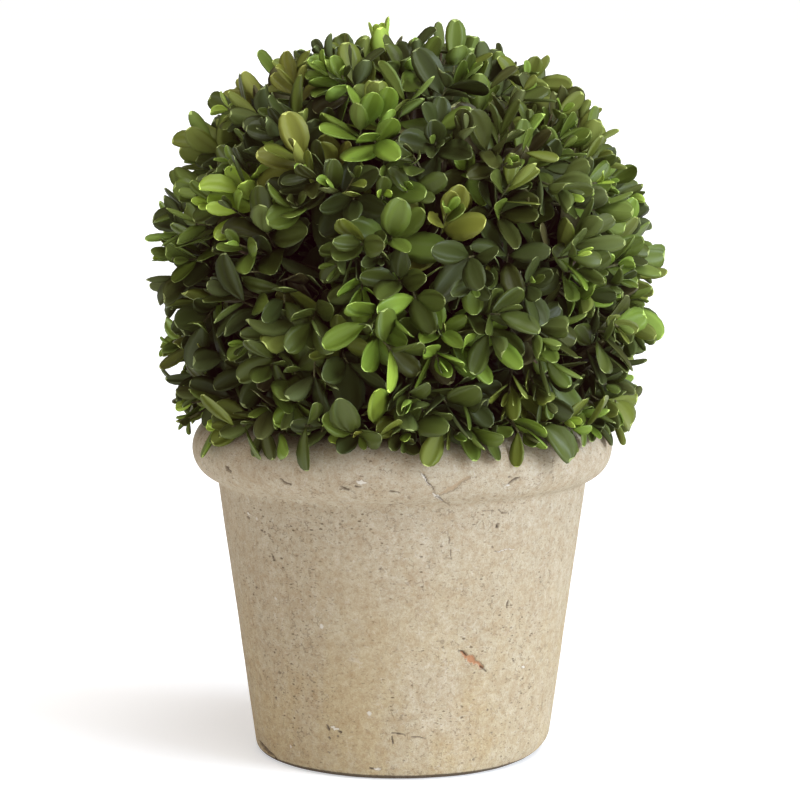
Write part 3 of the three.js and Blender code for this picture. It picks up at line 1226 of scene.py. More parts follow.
@dataclass
class Skeleton:
    """The branching rule: limbs fork in two until each carries one spray."""

    rng: Random
    twig: float = 0.52 * MM  # radius of a limb that carries one spray
    pipe_power: float = 0.42  # how a limb's radius grows with the sprays that it carries
    # How far along the way to its sprays a limb forks, if it carries more than so many of them.
    forks: tuple[tuple[int, float], ...] = ((90, 0.14), (12, 0.34), (1, 0.5), (0, 1.0))
    wander: float = 0.12
    knee_part: float = 0.45  # how far along a limb its curve keeps the parent's direction
    flare: float = 1.35  # the most that a limb is thicker at its base than at its tip
    cut: Pair = (0.38, 0.62)  # the share of the sprays that goes to the first of two limbs
    limbs: list[Limb] = field(default_factory=list)

    def radius(self, carried: int) -> float:
        """Radius of a limb that carries a number of sprays."""
        return self.twig * carried**self.pipe_power

    def grow(self, start: Vector, heading: Vector, feet: list[Vector], base: float) -> None:
        """Grows one limb and everything beyond it.

        Args:
            start: Where the limb leaves its parent.
            heading: The parent's direction there.
            feet: Where the sprays that it feeds begin.
            base: Its radius at the start.
        """
        middle = sum(feet, Vector()) / len(feet)
        reach = middle - start
        carried = len(feet)
        part = next(part for more_than, part in self.forks if carried > more_than)
        end = start + reach * part
        if carried > 1:
            end += Vector([self.rng.gauss(0.0, self.wander) for _ in range(3)]) * reach.length * part
        knee = start + heading * (end - start).length * self.knee_part
        tip = self.radius(carried)
        self.limbs.append(Limb(start, knee, end, min(base, tip * self.flare), tip))
        if carried == 1:
            return
        onward = (end - knee).normalized()
        for group in self.split(feet):
            self.grow(end, onward, group, tip)

    def split(self, feet: list[Vector]) -> list[list[Vector]]:
        """Parts the sprays' feet in two across the way in which they spread most."""
        points = np.array(feet)
        points = points - points.mean(0)
        spread = np.linalg.eigh(points.T @ points)[1][:, -1]
        order = np.argsort(points @ spread)
        cut = len(feet) * self.rng.uniform(*self.cut)
        cut = min(max(1, round(cut)), len(feet) - 1)
        return [[feet[i] for i in order[:cut]], [feet[i] for i in order[cut:]]]


@dataclass
class Wood:
    """The stem, the boughs and the twigs as meshes."""

    bough_from: float = 1.7 * MM  # a limb this thick or more is a bough
    bark_relief: float = 0.09  # as a part of the limb's radius
    bark_scale: float = 330.0
    bark_length: float = 0.35  # below 1, the relief is drawn out upwards
    bark_fractal: tuple[float, float, int] = (0.9, 2.1, 3)  # H, lacunarity and octaves
    any_way: Triple = (0.36, 0.48, 0.8)  # a direction that no limb follows, to begin the rings from
    stem_grid: tuple[int, int] = (40, 46)  # corners in a ring, and rings
    bough_grid: tuple[int, int] = (14, 12)
    twig_grid: tuple[int, int] = (6, 5)
    stem_top: Pair = (1.5 * MM, 0.6 * MM)  # where the stem forks, seen from above
    neck_part: float = 0.6  # as a part of the foot's radius
    tip_part: float = 0.5
    swell: float = 0.6  # how much the foot flares
    swell_height: float = 6.0 * MM
    lobe: float = 0.3
    lobe_count: float = 3.0

    def sweep(self, pattern: Pattern, limbs: Sequence[Limb], relief: float = 0.0) -> np.ndarray:
        """Bends a tube along each limb.

        Args:
            pattern: The tube.
            limbs: The limbs.
            relief: How far the bark stands in and out, as a part of the radius.

        Returns:
            The corners of every copy.
        """
        copies = np.zeros((len(limbs), len(pattern.rows), 3))
        share = np.arange(pattern.row_count) / (pattern.row_count - 1)
        turn = np.arange(pattern.column_count) / pattern.column_count * math.tau
        cosine, sine = np.cos(turn)[None, :, None], np.sin(turn)[None, :, None]
        for i, limb in enumerate(limbs):
            start, knee, end = (np.array(p) for p in (limb.start, limb.knee, limb.end))
            t = share[:, None]
            spine = (1 - t) ** 2 * start + 2 * t * (1 - t) * knee + t**2 * end
            way = 2 * (1 - t) * (knee - start) + 2 * t * (end - knee)
            way /= np.linalg.norm(way, axis=1)[:, None] + TINY
            aside = np.cross(way, np.array(self.any_way))
            aside /= np.linalg.norm(aside, axis=1)[:, None] + TINY
            across = np.cross(way, aside)
            radius = (limb.base + (limb.tip - limb.base) * share)[:, None, None]
            ring = cosine * aside[:, None] + sine * across[:, None]
            grid = spine[:, None] + radius * ring
            if relief:
                for row, column in np.ndindex(grid.shape[:2]):
                    place = Vector(grid[row, column])
                    place.z *= self.bark_length
                    bump = noise.fractal(place * self.bark_scale, *self.bark_fractal)
                    grid[row, column] += ring[row, column] * radius[row, 0] * relief * bump
            copies[i] = grid[pattern.rows, pattern.columns]
        return copies

    def add(self, bm: bmesh.types.BMesh, pattern: Pattern, copies: np.ndarray) -> None:
        """Adds bent copies of a tube to a mesh."""
        mesh = pattern.join("wood_part", copies)
        bm.from_mesh(mesh)
        bpy.data.meshes.remove(mesh)

    def add_stem(self, bm: bmesh.types.BMesh) -> None:
        """Adds the stem, which flares in lobes at its foot, to a mesh."""
        low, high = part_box("stem")
        foot_radius = 0.5 * (high.y - low.y)
        foot = Vector((0.0, 0.0, low.z))
        top = Vector((*self.stem_top, high.z))
        base, tip = self.neck_part * foot_radius, self.tip_part * foot_radius
        line = Limb(foot, foot.lerp(top, 0.5), top, base, tip)
        pattern = Pattern.tube(*self.stem_grid)
        copies = self.sweep(pattern, [line], self.bark_relief)
        for column, point in zip(pattern.columns, copies[0]):
            rise = point[2] - foot.z
            turn = self.lobe_count * math.tau * column / pattern.column_count
            lobes = 1.0 + self.lobe * math.cos(turn)
            point[:2] *= 1.0 + self.swell * math.exp(-rise / self.swell_height) * lobes
        self.add(bm, pattern, copies)

    def build_stem_and_boughs(self, limbs: Sequence[Limb]) -> bpy.types.Object:
        """Makes the thick wood, with its bark's relief."""
        bm = bmesh.new()
        self.add_stem(bm)
        thick = [limb for limb in limbs if limb.tip >= self.bough_from]
        pattern = Pattern.tube(*self.bough_grid)
        self.add(bm, pattern, self.sweep(pattern, thick, self.bark_relief))
        piece = from_bmesh("stem_and_boughs", bm, [BarkFinish().material()])
        return settle(piece, "stem")

    def build_twigs(self, limbs: Sequence[Limb], name: str, finish: BarkFinish) -> bpy.types.Object:
        """Makes thin wood as one joined piece.

        Args:
            limbs: The thin limbs.
            name: The piece's name.
            finish: Its bark.

        Returns:
            The finished piece.
        """
        pattern = Pattern.tube(*self.twig_grid)
        mesh = pattern.join(name, self.sweep(pattern, limbs))
        return settle(to_piece(name, mesh, [finish.material()]), "foliage_ball")


# ---------------------------------------------------------------- leaves


LEAF_ROWS = np.array((0.0, 0.14, 0.34, 0.57, 0.78, 0.905, 0.973, 0.996))
LEAF_RING = np.array((  # place across the blade, and depth below its upper face
    (1.0, 0.5), (0.87, 0.0), (0.45, 0.0), (0.0, 0.0), (-0.45, 0.0),
    (-0.87, 0.0), (-1.0, 0.5), (-0.64, 1.0), (0.0, 1.0), (0.64, 1.0),
))
BLADE, UNDER, EDGE = range(3)  # a leaf's finishes, in slot order
UNDER_STRIP = 6  # the strips of the ring from here on lie underneath
EDGE_STRIPS = (-1, 0, 5)  # the caps and the outermost strips of the upper face


@dataclass(frozen=True)
class BladeForm:
    """What all leaves have in common: how the blade swells, closes, thins and is notched."""

    swell: float = 0.95  # below 1, the base is fuller
    close: float = 2.4  # above 2, the tip is blunter than an ellipse's
    stalk: float = 0.055  # the least width, as a part of the greatest
    thickness: float = 0.36 * MM
    thinning: float = 2.2  # how soon the blade is at its full thickness
    notch_from: float = 0.8  # as a part of the length
    notch_run: float = 0.185
    least_bend: float = 1e-3  # radians


@dataclass
class LeafShapes:
    """Many leaves as arrays, one row for each leaf."""

    base: np.ndarray
    along: np.ndarray
    normal: np.ndarray
    length: np.ndarray
    width: np.ndarray  # half the blade's width
    widest: np.ndarray  # where the blade is widest, as a part of its length
    bend: np.ndarray  # radians that the tip turns towards the upper face
    cup: np.ndarray  # how far the edges rise, as a part of the half width
    fold: np.ndarray  # how steeply the halves rise from the midrib
    twist: np.ndarray  # radians that the tip turns about the midrib
    notch: np.ndarray  # depth of the notch in the tip, as a part of the length
    form: BladeForm = BladeForm()

    def corners(self, u: np.ndarray, v: np.ndarray, depth: np.ndarray) -> np.ndarray:
        """Places on the leaves.

        Args:
            u: Places along the midrib, from 0 at the base to 1 at the tip.
            v: Places across, from -1 to 1.
            depth: 0 on the upper face and 1 on the lower.

        Returns:
            An array of leaves, places and coordinates.
        """
        def column(values: np.ndarray) -> np.ndarray:
            """Values as a column, to meet every place."""
            return values[:, None]

        form = self.form
        widest = column(self.widest)
        before = np.sin(0.5 * math.pi * np.minimum(u / widest, 1.0)) ** form.swell
        beyond = np.maximum(u - widest, 0.0) / (1.0 - widest)
        after = np.sqrt(np.clip(1.0 - beyond**form.close, 0.0, 1.0))
        share = np.maximum(before * after, form.stalk)
        half = column(self.width) * share
        turn = column(np.where(np.abs(self.bend) < form.least_bend, form.least_bend, self.bend))
        angle = turn * u
        length = column(self.length)
        near_tip = np.clip((u - form.notch_from) / form.notch_run, 0.0, 1.0)
        notch = column(self.notch) * length * near_tip * (1.0 - np.abs(v)) ** 2
        run = length * np.sin(angle) / turn - notch
        rise = length * (1.0 - np.cos(angle)) / turn
        thin = form.thickness * np.minimum(share * form.thinning, 1.0)
        lift = half * (column(self.cup) * v**2 + column(self.fold) * np.abs(v)) - thin * depth
        roll = column(self.twist) * u
        aside = half * v * np.cos(roll) - lift * np.sin(roll)
        above = half * v * np.sin(roll) + lift * np.cos(roll)
        side = np.cross(self.normal, self.along)[:, None]
        along, normal = self.along[:, None], self.normal[:, None]
        run = run - above * np.sin(angle)
        rise = rise + above * np.cos(angle)
        base = self.base[:, None]
        return base + run[..., None] * along + rise[..., None] * normal + aside[..., None] * side

    @classmethod
    def stack(cls, leaves: Sequence["Leaf"]) -> "LeafShapes":
        """Puts single leaves together."""
        names = [part.name for part in fields(cls) if part.name != "form"]
        return cls(**{name: np.array([getattr(leaf, name) for leaf in leaves]) for name in names})


@dataclass
class Leaf:
    """One leaf before it is joined with its fellows."""

    base: Vector
    along: Vector
    normal: Vector
    length: float
    width: float
    widest: float
    bend: float
    cup: float
    fold: float
    twist: float
    notch: float
    tint: Tint


@dataclass(frozen=True)
class Spray:
    """A leafy shoot: the line of its axis, its age and its tints."""

    foot: Vector
    tip: Vector
    clipped: bool
    vigour: float
    tint: Tint
    old_tint: Tint
    tip_tint: Tint
    pairs: int
    spread: float  # how widely its leaves open

    @property
    def axis(self) -> Vector:
        """The direction in which it grows."""
        return (self.tip - self.foot).normalized()


class CrownOutline:
    """The clipped outline, read from the crown's CAD solid."""

    DROP = 0.975  # how far its middle lies below its top, as a part of its half width

    def __init__(self) -> None:
        """Reads the solid and finds its middle."""
        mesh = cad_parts["foliage_ball"].data
        corners, faces = [v.co for v in mesh.vertices], [p.vertices for p in mesh.polygons]
        self.tree = BVHTree.FromPolygons(corners, faces)
        low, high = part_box("foliage_ball")
        top = high.z - self.DROP * (0.5 * (high.x - low.x))
        self.centre = Vector((0.5 * (low.x + high.x), 0.5 * (low.y + high.y), top))

    def reach(self, direction: Vector) -> float:
        """How far the outline stands from the middle in a direction."""
        hit = self.tree.ray_cast(self.centre, direction)[0]
        return (hit - self.centre).length if hit else 0.0


class OpenSpace:
    """Keeps the leaves from cutting through each other."""

    STEPS = (0.1, 0.4, 0.7, 0.98)  # places along a leaf and across it where it is tested
    SIDES = (-0.95, -0.45, 0.0, 0.45, 0.95)
    BATCH = 200  # how many new leaves wait before they are filed

    def __init__(self, reach: float) -> None:
        """Starts empty.

        Args:
            reach: Leaves whose middles are further apart than this can't touch.
        """
        self.reach = reach
        self.middles = np.zeros((0, 3))
        self.waiting: list[np.ndarray] = []
        self.trees: list[BVHTree] = []
        self.u = np.array([u for u in self.STEPS for _ in self.SIDES])
        self.v = np.array([v for _ in self.STEPS for v in self.SIDES])
        wide = len(self.SIDES)
        firsts = [wide * row + side for row in range(len(self.STEPS) - 1) for side in range(wide - 1)]
        self.faces = [(first, first + 1, first + wide + 1, first + wide) for first in firsts]

    def sketch(self, leaf: Leaf) -> np.ndarray:
        """A few places on a leaf, which stand for its blade, from its base to its tip."""
        return LeafShapes.stack([leaf]).corners(self.u, self.v, np.zeros(len(self.u)))[0]

    def tip(self, points: np.ndarray) -> Vector:
        """The middle of a sketched blade's tip."""
        return Vector(points[-(len(self.SIDES) // 2) - 1])

    def meets(self, points: np.ndarray) -> int:
        """How many of the placed leaves a blade would cut."""
        tree = BVHTree.FromPolygons(points.tolist(), self.faces)
        middle = points.mean(0)
        known = np.array(self.waiting) if self.waiting else np.zeros((0, 3))
        middles = np.concatenate([self.middles, known])
        near = np.flatnonzero(np.sum((middles - middle) ** 2, axis=1) < self.reach**2)
        return sum(1 for i in near if tree.overlap(self.trees[i]))

    def take(self, points: np.ndarray) -> None:
        """Fills the space of a blade."""
        self.trees.append(BVHTree.FromPolygons(points.tolist(), self.faces))
        self.waiting.append(points.mean(0))
        if len(self.waiting) > self.BATCH:
            self.middles = np.concatenate([self.middles, np.array(self.waiting)])
            self.waiting = []


@dataclass(frozen=True)
class Freedom:
    """How freely an angle varies: by its first draw, and by how much more at every further try."""

    first: float
    more: float

    def draw(self, rng: Random, shake: float) -> float:
        """Draws a turn."""
        return rng.gauss(0.0, self.first + self.more * shake)


@dataclass(frozen=True)
class LeafRule:
    """How a leaf's size, stance and curves follow from its place on the shoot, and by chance.

    A pair of values for the two kinds of shoot has the natural one first and the clipped one second.
    """

    length: float = 24.5 * MM
    pair_step: float = 4.5 * MM
    tip_gap: Pair = (0.8, 0.8)  # mm that all pairs stand back from the tip, and that each adds
    stand_off: float = 0.5  # mm from the shoot's axis
    head_start: Pair = (0.7, 2.3)  # how grown the leaves at the tip are, in pairs
    growth: float = 1.35  # pairs over which the leaves grow
    opening: Pair = (20.0, 33.0)  # degrees that the leaves at the tip stand off the shoot
    opening_gain: float = 40.0
    opening_pairs: float = 2.3
    opening_limits: Pair = (8.0, 110.0)
    opening_freedom: Freedom = Freedom(10.0, 3.5)
    turn_freedom: Freedom = Freedom(0.24, 0.10)
    roll_freedom: Freedom = Freedom(0.30, 0.12)
    shake_step: float = 0.5  # how much freer the pose is at each try
    tries: int = 9
    young_pairs: int = 3  # the pairs that may have a tint of their own
    odd_share: float = 0.24
    uneven: Pair = (0.86, 1.12)
    ratio: Pair = (0.48, 0.67)  # width to length
    widest: Pair = (0.49, 0.66)
    fold: Pair = (0.0, 0.22)
    bend: Pair = (0.10, 0.38)  # from here on a mean and a spread
    cup: Pair = (0.24, 0.18)
    twist: Pair = (0.0, 0.16)
    notch: Pair = (0.012, 0.02)

    def grown(self, spray: Spray, pair: int) -> tuple[float, float]:
        """Length of the leaves of a pair and how far they stand off the shoot.

        Args:
            spray: The shoot.
            pair: 0 for the pair at the tip.

        Returns:
            The length in metres and the angle in degrees.
        """
        grown = 1.0 - math.exp(-(pair + self.head_start[spray.clipped]) / self.growth)
        opened = 1.0 - math.exp(-pair / self.opening_pairs)
        opening = self.opening[spray.clipped] + self.opening_gain * opened
        return self.length * spray.vigour * grown, opening * spray.spread

    def opened(self, opening: float, rng: Random, shake: float) -> float:
        """The angle in radians at which one leaf stands off, from its pair's angle in degrees."""
        low, high = self.opening_limits
        return math.radians(min(max(opening + self.opening_freedom.draw(rng, shake), low), high))

    def back(self, spray: Spray, pair: int) -> float:
        """How far a pair stands back from the shoot's tip."""
        first, more = self.tip_gap
        return (first + more * pair) * MM + self.pair_step * pair * spray.vigour


@dataclass(frozen=True)
class OuterRule:
    """The shoots that make the clipped surface, in small clusters."""

    clusters: int = 184  # over the whole ball, the part inside the pot included
    jitter: float = 0.05
    sizes: tuple[int, ...] = (2, 3, 3, 3, 4)
    radius: float = 8.5 * MM
    radius_varies: Pair = (0.8, 1.25)
    twin_part: float = 0.8  # how much closer the shoots of a pair stand
    turn: float = 0.25
    lean: float = 0.22  # of a whole cluster
    own_lean: float = 0.22
    splay: float = 0.20
    droop: float = 0.4  # how much the shoots of the lower half hang
    droop_below: float = 0.25
    inset: Pair = (9.5 * MM, 14.5 * MM)  # of a natural and a clipped shoot
    inset_varies: float = 2.0  # mm either way
    recessed_share: float = 0.20
    recess: float = 10.0 * MM
    recess_varies: Pair = (0.6, 1.3)
    true_share: float = 0.62  # the part that keeps its cluster's tint


@dataclass(frozen=True)
class SkirtRule:
    """The shoots that lean out over the pot's rim and hang their leaves in front of it."""

    count: int = 74
    jitter: float = 0.4
    out: Pair = (96.0, 106.0)  # mm from the axis
    height: Pair = (163.5, 172.5)  # mm
    fall: Pair = (2.0, 38.0)  # degrees below level
    lean: float = 0.16
    pairs: int = 4
    spread: float = 1.15


@dataclass(frozen=True)
class InnerRule:
    """Old shaded shoots deep in the crown, which close it to the eye; their dark tint is partly painted
    shade.
    """

    count: int = 200
    jitter: float = 0.12
    depth: Pair = (0.50, 0.74)  # as a part of the outline's reach
    lean: float = 0.3
    tints: tuple[Tint, ...] = (Tint.SHADE, Tint.SHADE, Tint.SHADE, Tint.DEEP)
    pairs: int = 4
    spread: float = 1.3


@dataclass(frozen=True)
class SnagRule:
    """Dry twig ends that the shears have left among the leaves."""

    count: int = 110
    below: Pair = (2.0, 12.0)  # mm under the tip of the shoot beside it
    aside: float = 4.5 * MM
    knee: float = 0.55
    knee_aside: float = 2.5 * MM
    base: float = 0.85 * MM
    tip: float = 0.5 * MM


@dataclass
class Crown:
    """The clipped crown: its sprays, their leaves and the wood that carries them."""

    pot: Pot
    outline: CrownOutline = field(default_factory=CrownOutline)
    outer: OuterRule = OuterRule()
    skirt: SkirtRule = SkirtRule()
    inner: InnerRule = InnerRule()
    snag: SnagRule = SnagRule()
    leaf: LeafRule = LeafRule()
    pairs: int = 7
    spray_length: Pair = (33.0 * MM, 42.0 * MM)
    vigour: Pair = (0.80, 1.12)
    clipped_share: float = 0.60
    top_rise: float = 3.0 * MM  # how much longer the shoots on top are left
    overshoot: float = 3.6 * MM  # how far a leaf may pass the outline
    hem: float = 149.5 * MM  # nothing hangs lower
    skirt_levels: Pair = (156.0 * MM, 176.0 * MM)
    skirt_reach: Pair = (109.0 * MM, 114.5 * MM)  # how far out a leaf may hang at these levels
    shoot_clearance: float = 1.5 * MM  # from the pot
    leaf_clearance: float = 0.4 * MM
    neighbours: float = 1.15  # leaves further apart than this many lengths can't touch
    shoot_radii: Pair = (0.75 * MM, 0.45 * MM)
    root_sink: float = 2.0 * MM  # how deep in the stem's end the first bough begins
    root_radius: float = 6.2 * MM
    piece_leaves: int = 1200  # the most leaves in one piece
    seed: int = 23

    def __post_init__(self) -> None:
        """Starts the random draws."""
        self.rng = Random(self.seed)

    def pick_tint(self) -> Tint:
        """Draws a tint by its share of the crown."""
        return self.rng.choices(list(Tint), [tint.share for tint in Tint])[0]

    def shake(self, size: float) -> Vector:
        """A small random vector."""
        return Vector([self.rng.gauss(0.0, size) for _ in range(3)])

    def rise(self, way: Vector) -> float:
        """How much further than elsewhere the shoots stand in a direction near the top."""
        return self.top_rise * max(way.z, 0.0) ** 2

    def make_spray(self, tip: Vector, axis: Vector, tint: Tint, **more: Any) -> Spray:
        """Makes one shoot and deals it its age and its other tints.

        Args:
            tip: Where its axis ends.
            axis: The direction in which it grows.
            tint: The colour of its grown leaves.
            more: Anything else that is known about it.

        Returns:
            The shoot.
        """
        rng = self.rng
        old = rng.choice((tint, Tint.DEEP, Tint.DEEP, Tint.OLD))
        young = rng.choice((tint, tint, Tint.LEAF, Tint.FRESH, Tint.FRESH, Tint.LIME))
        facts = {
            "clipped": rng.random() < self.clipped_share,
            "vigour": rng.uniform(*self.vigour),
            "old_tint": old,
            "tip_tint": young,
            "pairs": self.pairs,
            "spread": 1.0,
            **more,
        }
        return Spray(foot=tip - axis * rng.uniform(*self.spray_length), tip=tip, tint=tint, **facts)

    def directions(self, count: int, jitter: float) -> list[Vector]:
        """Directions spread evenly over the ball in a spiral, shaken a little."""
        golden = math.pi * (3.0 - math.sqrt(5.0))
        ways = []
        for i in range(count):
            height = 1.0 - (2.0 * i + 1.0) / count
            ring = math.sqrt(1.0 - height * height)
            way = Vector((ring * math.cos(i * golden), ring * math.sin(i * golden), height))
            ways.append((way + self.shake(jitter)).normalized())
        return ways

    def outer_sprays(self) -> list[Spray]:
        """The shoots of the clipped surface."""
        rng, rule = self.rng, self.outer
        found = []
        for way in self.directions(rule.clusters, rule.jitter):
            count = rng.choice(rule.sizes)
            tint = self.pick_tint()
            lean = self.shake(rule.lean)
            start = rng.uniform(0.0, math.tau)
            first = way.orthogonal().normalized()
            second = way.cross(first)
            for k in range(count):
                turn = start + math.tau * k / count + rng.gauss(0.0, rule.turn)
                aside = first * math.cos(turn) + second * math.sin(turn)
                closer = rule.twin_part if count == 2 else 1.0
                radius = rule.radius * rng.uniform(*rule.radius_varies) * closer
                own_way = (way * self.outline.reach(way) + aside * radius).normalized()
                hang = UP * rule.droop * max(rule.droop_below - own_way.z, 0.0)
                axis = own_way + lean + aside * rule.splay + self.shake(rule.own_lean) - hang
                clipped = rng.random() < self.clipped_share
                inset = rule.inset[clipped] + rng.uniform(-rule.inset_varies, rule.inset_varies) * MM
                inset -= self.rise(own_way)
                if rng.random() < rule.recessed_share:
                    inset += rule.recess * rng.uniform(*rule.recess_varies)
                tip = self.outline.centre + own_way * (self.outline.reach(own_way) - inset)
                own_tint = tint if rng.random() < rule.true_share else self.pick_tint()
                found.append(self.make_spray(tip, axis.normalized(), own_tint, clipped=clipped))
        return found

    def skirt_sprays(self) -> list[Spray]:
        """The shoots round the crown's lower edge."""
        rng, rule = self.rng, self.skirt
        found = []
        for i in range(rule.count):
            angle = math.tau * (i + rng.uniform(-rule.jitter, rule.jitter)) / rule.count
            out = Vector((math.sin(angle), -math.cos(angle), 0.0))
            tip = out * rng.uniform(*rule.out) * MM + UP * rng.uniform(*rule.height) * MM
            fall = math.radians(rng.uniform(*rule.fall))
            axis = (out * math.cos(fall) - UP * math.sin(fall) + self.shake(rule.lean)).normalized()
            kind = {"pairs": rule.pairs, "spread": rule.spread}
            found.append(self.make_spray(tip, axis, self.pick_tint(), **kind))
        return found

    def inner_sprays(self) -> list[Spray]:
        """The shaded shoots inside."""
        rng, rule = self.rng, self.inner
        found = []
        for way in self.directions(rule.count, rule.jitter):
            share = rng.uniform(*rule.depth)
            tip = self.outline.centre + way * self.outline.reach(way) * share
            axis = (way + self.shake(rule.lean)).normalized()
            tint = rng.choice(rule.tints)
            kind = {"pairs": rule.pairs, "spread": rule.spread, "old_tint": tint, "tip_tint": tint}
            found.append(self.make_spray(tip, axis, tint, **kind))
        return found

    def sprays(self) -> list[Spray]:
        """Every shoot of the crown that stands clear of the pot."""
        found = []
        for spray in [*self.outer_sprays(), *self.skirt_sprays(), *self.inner_sprays()]:
            line = [spray.tip.lerp(spray.foot, share) for share in (0.0, 0.25, 0.5, 0.75, 1.0)]
            lowest = min(point.z for point in line)
            if lowest > self.hem and not self.pot.holds(np.array(line), self.shoot_clearance):
                found.append(spray)
        return found

    def try_leaf(self, spray: Spray, axis: Vector, pair: int, turn: float, shake: float) -> Leaf:
        """One leaf in a slightly different pose each time.

        Args:
            spray: Its shoot.
            axis: The shoot's direction.
            pair: Its pair, 0 at the tip.
            turn: Its place round the shoot, in radians.
            shake: How freely the pose varies.

        Returns:
            The leaf.
        """
        rng, rule = self.rng, self.leaf
        length, opening = rule.grown(spray, pair)
        length *= rng.uniform(*rule.uneven)
        opening = rule.opened(opening, rng, shake)
        turn += rule.turn_freedom.draw(rng, shake)
        first = axis.orthogonal().normalized()
        second = axis.cross(first)
        outward = first * math.cos(turn) + second * math.sin(turn)
        along = (axis * math.cos(opening) + outward * math.sin(opening)).normalized()
        normal = (axis - along * axis.dot(along)).normalized()
        normal = Matrix.Rotation(rule.roll_freedom.draw(rng, shake), 3, along) @ normal
        spot = spray.tip - axis * rule.back(spray, pair)
        ratio = rng.uniform(*rule.ratio)
        young = pair == 0 and not spray.clipped
        tint = spray.tip_tint if young else spray.tint if pair < rule.young_pairs else spray.old_tint
        tint = self.pick_tint() if rng.random() < rule.odd_share and pair < rule.young_pairs else tint
        return Leaf(
            base=spot + outward * rule.stand_off * MM,
            along=along,
            normal=normal,
            length=length,
            width=0.5 * length * ratio,
            widest=rng.uniform(*rule.widest),
            bend=rng.gauss(*rule.bend),
            cup=rng.gauss(*rule.cup),
            fold=rng.uniform(*rule.fold),
            twist=rng.gauss(*rule.twist),
            notch=max(0.0, rng.gauss(*rule.notch)),
            tint=tint,
        )

    def fits(self, points: np.ndarray, end: Vector) -> bool:
        """Whether a leaf stays inside the clipped outline and clear of the pot.

        Args:
            points: Places on the leaf, as rows.
            end: The middle of its tip.

        Returns:
            True if it does.
        """
        if points[:, 2].min() < self.hem or self.pot.holds(points, self.leaf_clearance):
            return False
        tip = end - self.outline.centre
        height = tip.z + self.outline.centre.z
        if height < self.skirt_levels[1]:
            return tip.xy.length < np.interp(height, self.skirt_levels, self.skirt_reach)
        way = tip.normalized()
        return tip.length < self.outline.reach(way) + self.overshoot + self.rise(way)

    def leaves(self, sprays: Sequence[Spray]) -> list[Leaf]:
        """Sets the leaves on their shoots, tips first, each in space that is still free.

        Args:
            sprays: The shoots.

        Returns:
            Every leaf that found room.
        """
        space = OpenSpace(self.leaf.length * self.neighbours)
        placed: list[Leaf] = []
        order = [(pair, spray) for pair in range(self.pairs) for spray in sprays if pair < spray.pairs]
        starts = {id(spray): self.rng.uniform(0.0, math.tau) for spray in sprays}
        for pair, spray in order:
            axis = spray.axis
            for side in range(2):
                turn = starts[id(spray)] + (0.5 * pair + side) * math.pi
                for attempt in range(self.leaf.tries):
                    leaf = self.try_leaf(spray, axis, pair, turn, self.leaf.shake_step * attempt)
                    points = space.sketch(leaf)
                    if self.fits(points, space.tip(points)) and not space.meets(points):
                        space.take(points)
                        placed.append(leaf)
                        break
        LOG.info("%d of %d leaves found room", len(placed), 2 * len(order))
        return placed

    def build_leaves(self, leaves: Sequence[Leaf]) -> None:
        """Joins the leaves of each tint into one piece, or more if there are many."""
        pattern = Pattern.tube(len(LEAF_RING), len(LEAF_ROWS))
        u = LEAF_ROWS[pattern.rows]
        v, depth = LEAF_RING[pattern.columns].T
        depth = np.where(pattern.rows == pattern.row_count - 1, 0.5, depth)
        strips = pattern.strips()
        kinds = np.where(strips >= UNDER_STRIP, UNDER, BLADE)
        kinds[np.isin(strips, EDGE_STRIPS)] = EDGE
        kinds[pattern.face_rows() == pattern.row_count - 2] = EDGE
        for tint in Tint:
            group = [leaf for leaf in leaves if leaf.tint is tint]
            finishes = [finish.material() for finish in tint.finishes()]
            for first in range(0, len(group), self.piece_leaves):
                name = f"leaves_{tint.name.lower()}_{first // self.piece_leaves + 1}"
                shapes = LeafShapes.stack(group[first:first + self.piece_leaves])
                mesh = pattern.join(name, shapes.corners(u, v, depth), kinds)
                settle(to_piece(name, mesh, finishes), "foliage_ball")

    def build(self) -> None:
        """Grows the whole crown."""
        sprays = self.sprays()
        LOG.info("%d sprays", len(sprays))
        self.build_leaves(self.leaves(sprays))
        wood = Wood()
        top = Vector((*wood.stem_top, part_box("stem")[1].z - self.root_sink))
        skeleton = Skeleton(self.rng)
        skeleton.grow(top, UP, [spray.foot for spray in sprays], self.root_radius)
        wood.build_stem_and_boughs(skeleton.limbs)
        thin = [limb for limb in skeleton.limbs if limb.tip < wood.bough_from]
        shoots = [self.shoot(spray) for spray in sprays]
        kinds = (
            ("twigs", thin, BarkFinish("twig_bark")),
            ("snags", self.snags(sprays), BarkFinish("dry_bark")),
            ("young_shoots", shoots, BarkFinish("young_bark", *YOUNG_BARK)),
        )
        for name, limbs, finish in kinds:
            wood.build_twigs(limbs, name, finish)

    def snags(self, sprays: Sequence[Spray]) -> list[Limb]:
        """Dry ends beside some of the outer shoots."""
        rng, rule = self.rng, self.snag
        found = []
        for spray in rng.sample([spray for spray in sprays if spray.pairs == self.pairs], rule.count):
            end = spray.tip - spray.axis * rng.uniform(*rule.below) * MM + self.shake(rule.aside)
            knee = spray.foot.lerp(end, rule.knee) + self.shake(rule.knee_aside)
            found.append(Limb(spray.foot, knee, end, rule.base, rule.tip))
        return found

    def shoot(self, spray: Spray) -> Limb:
        """The green axis of a spray."""
        return Limb(spray.foot, spray.foot.lerp(spray.tip, 0.5), spray.tip, *self.shoot_radii)


# ---------------------------------------------------------------- studio


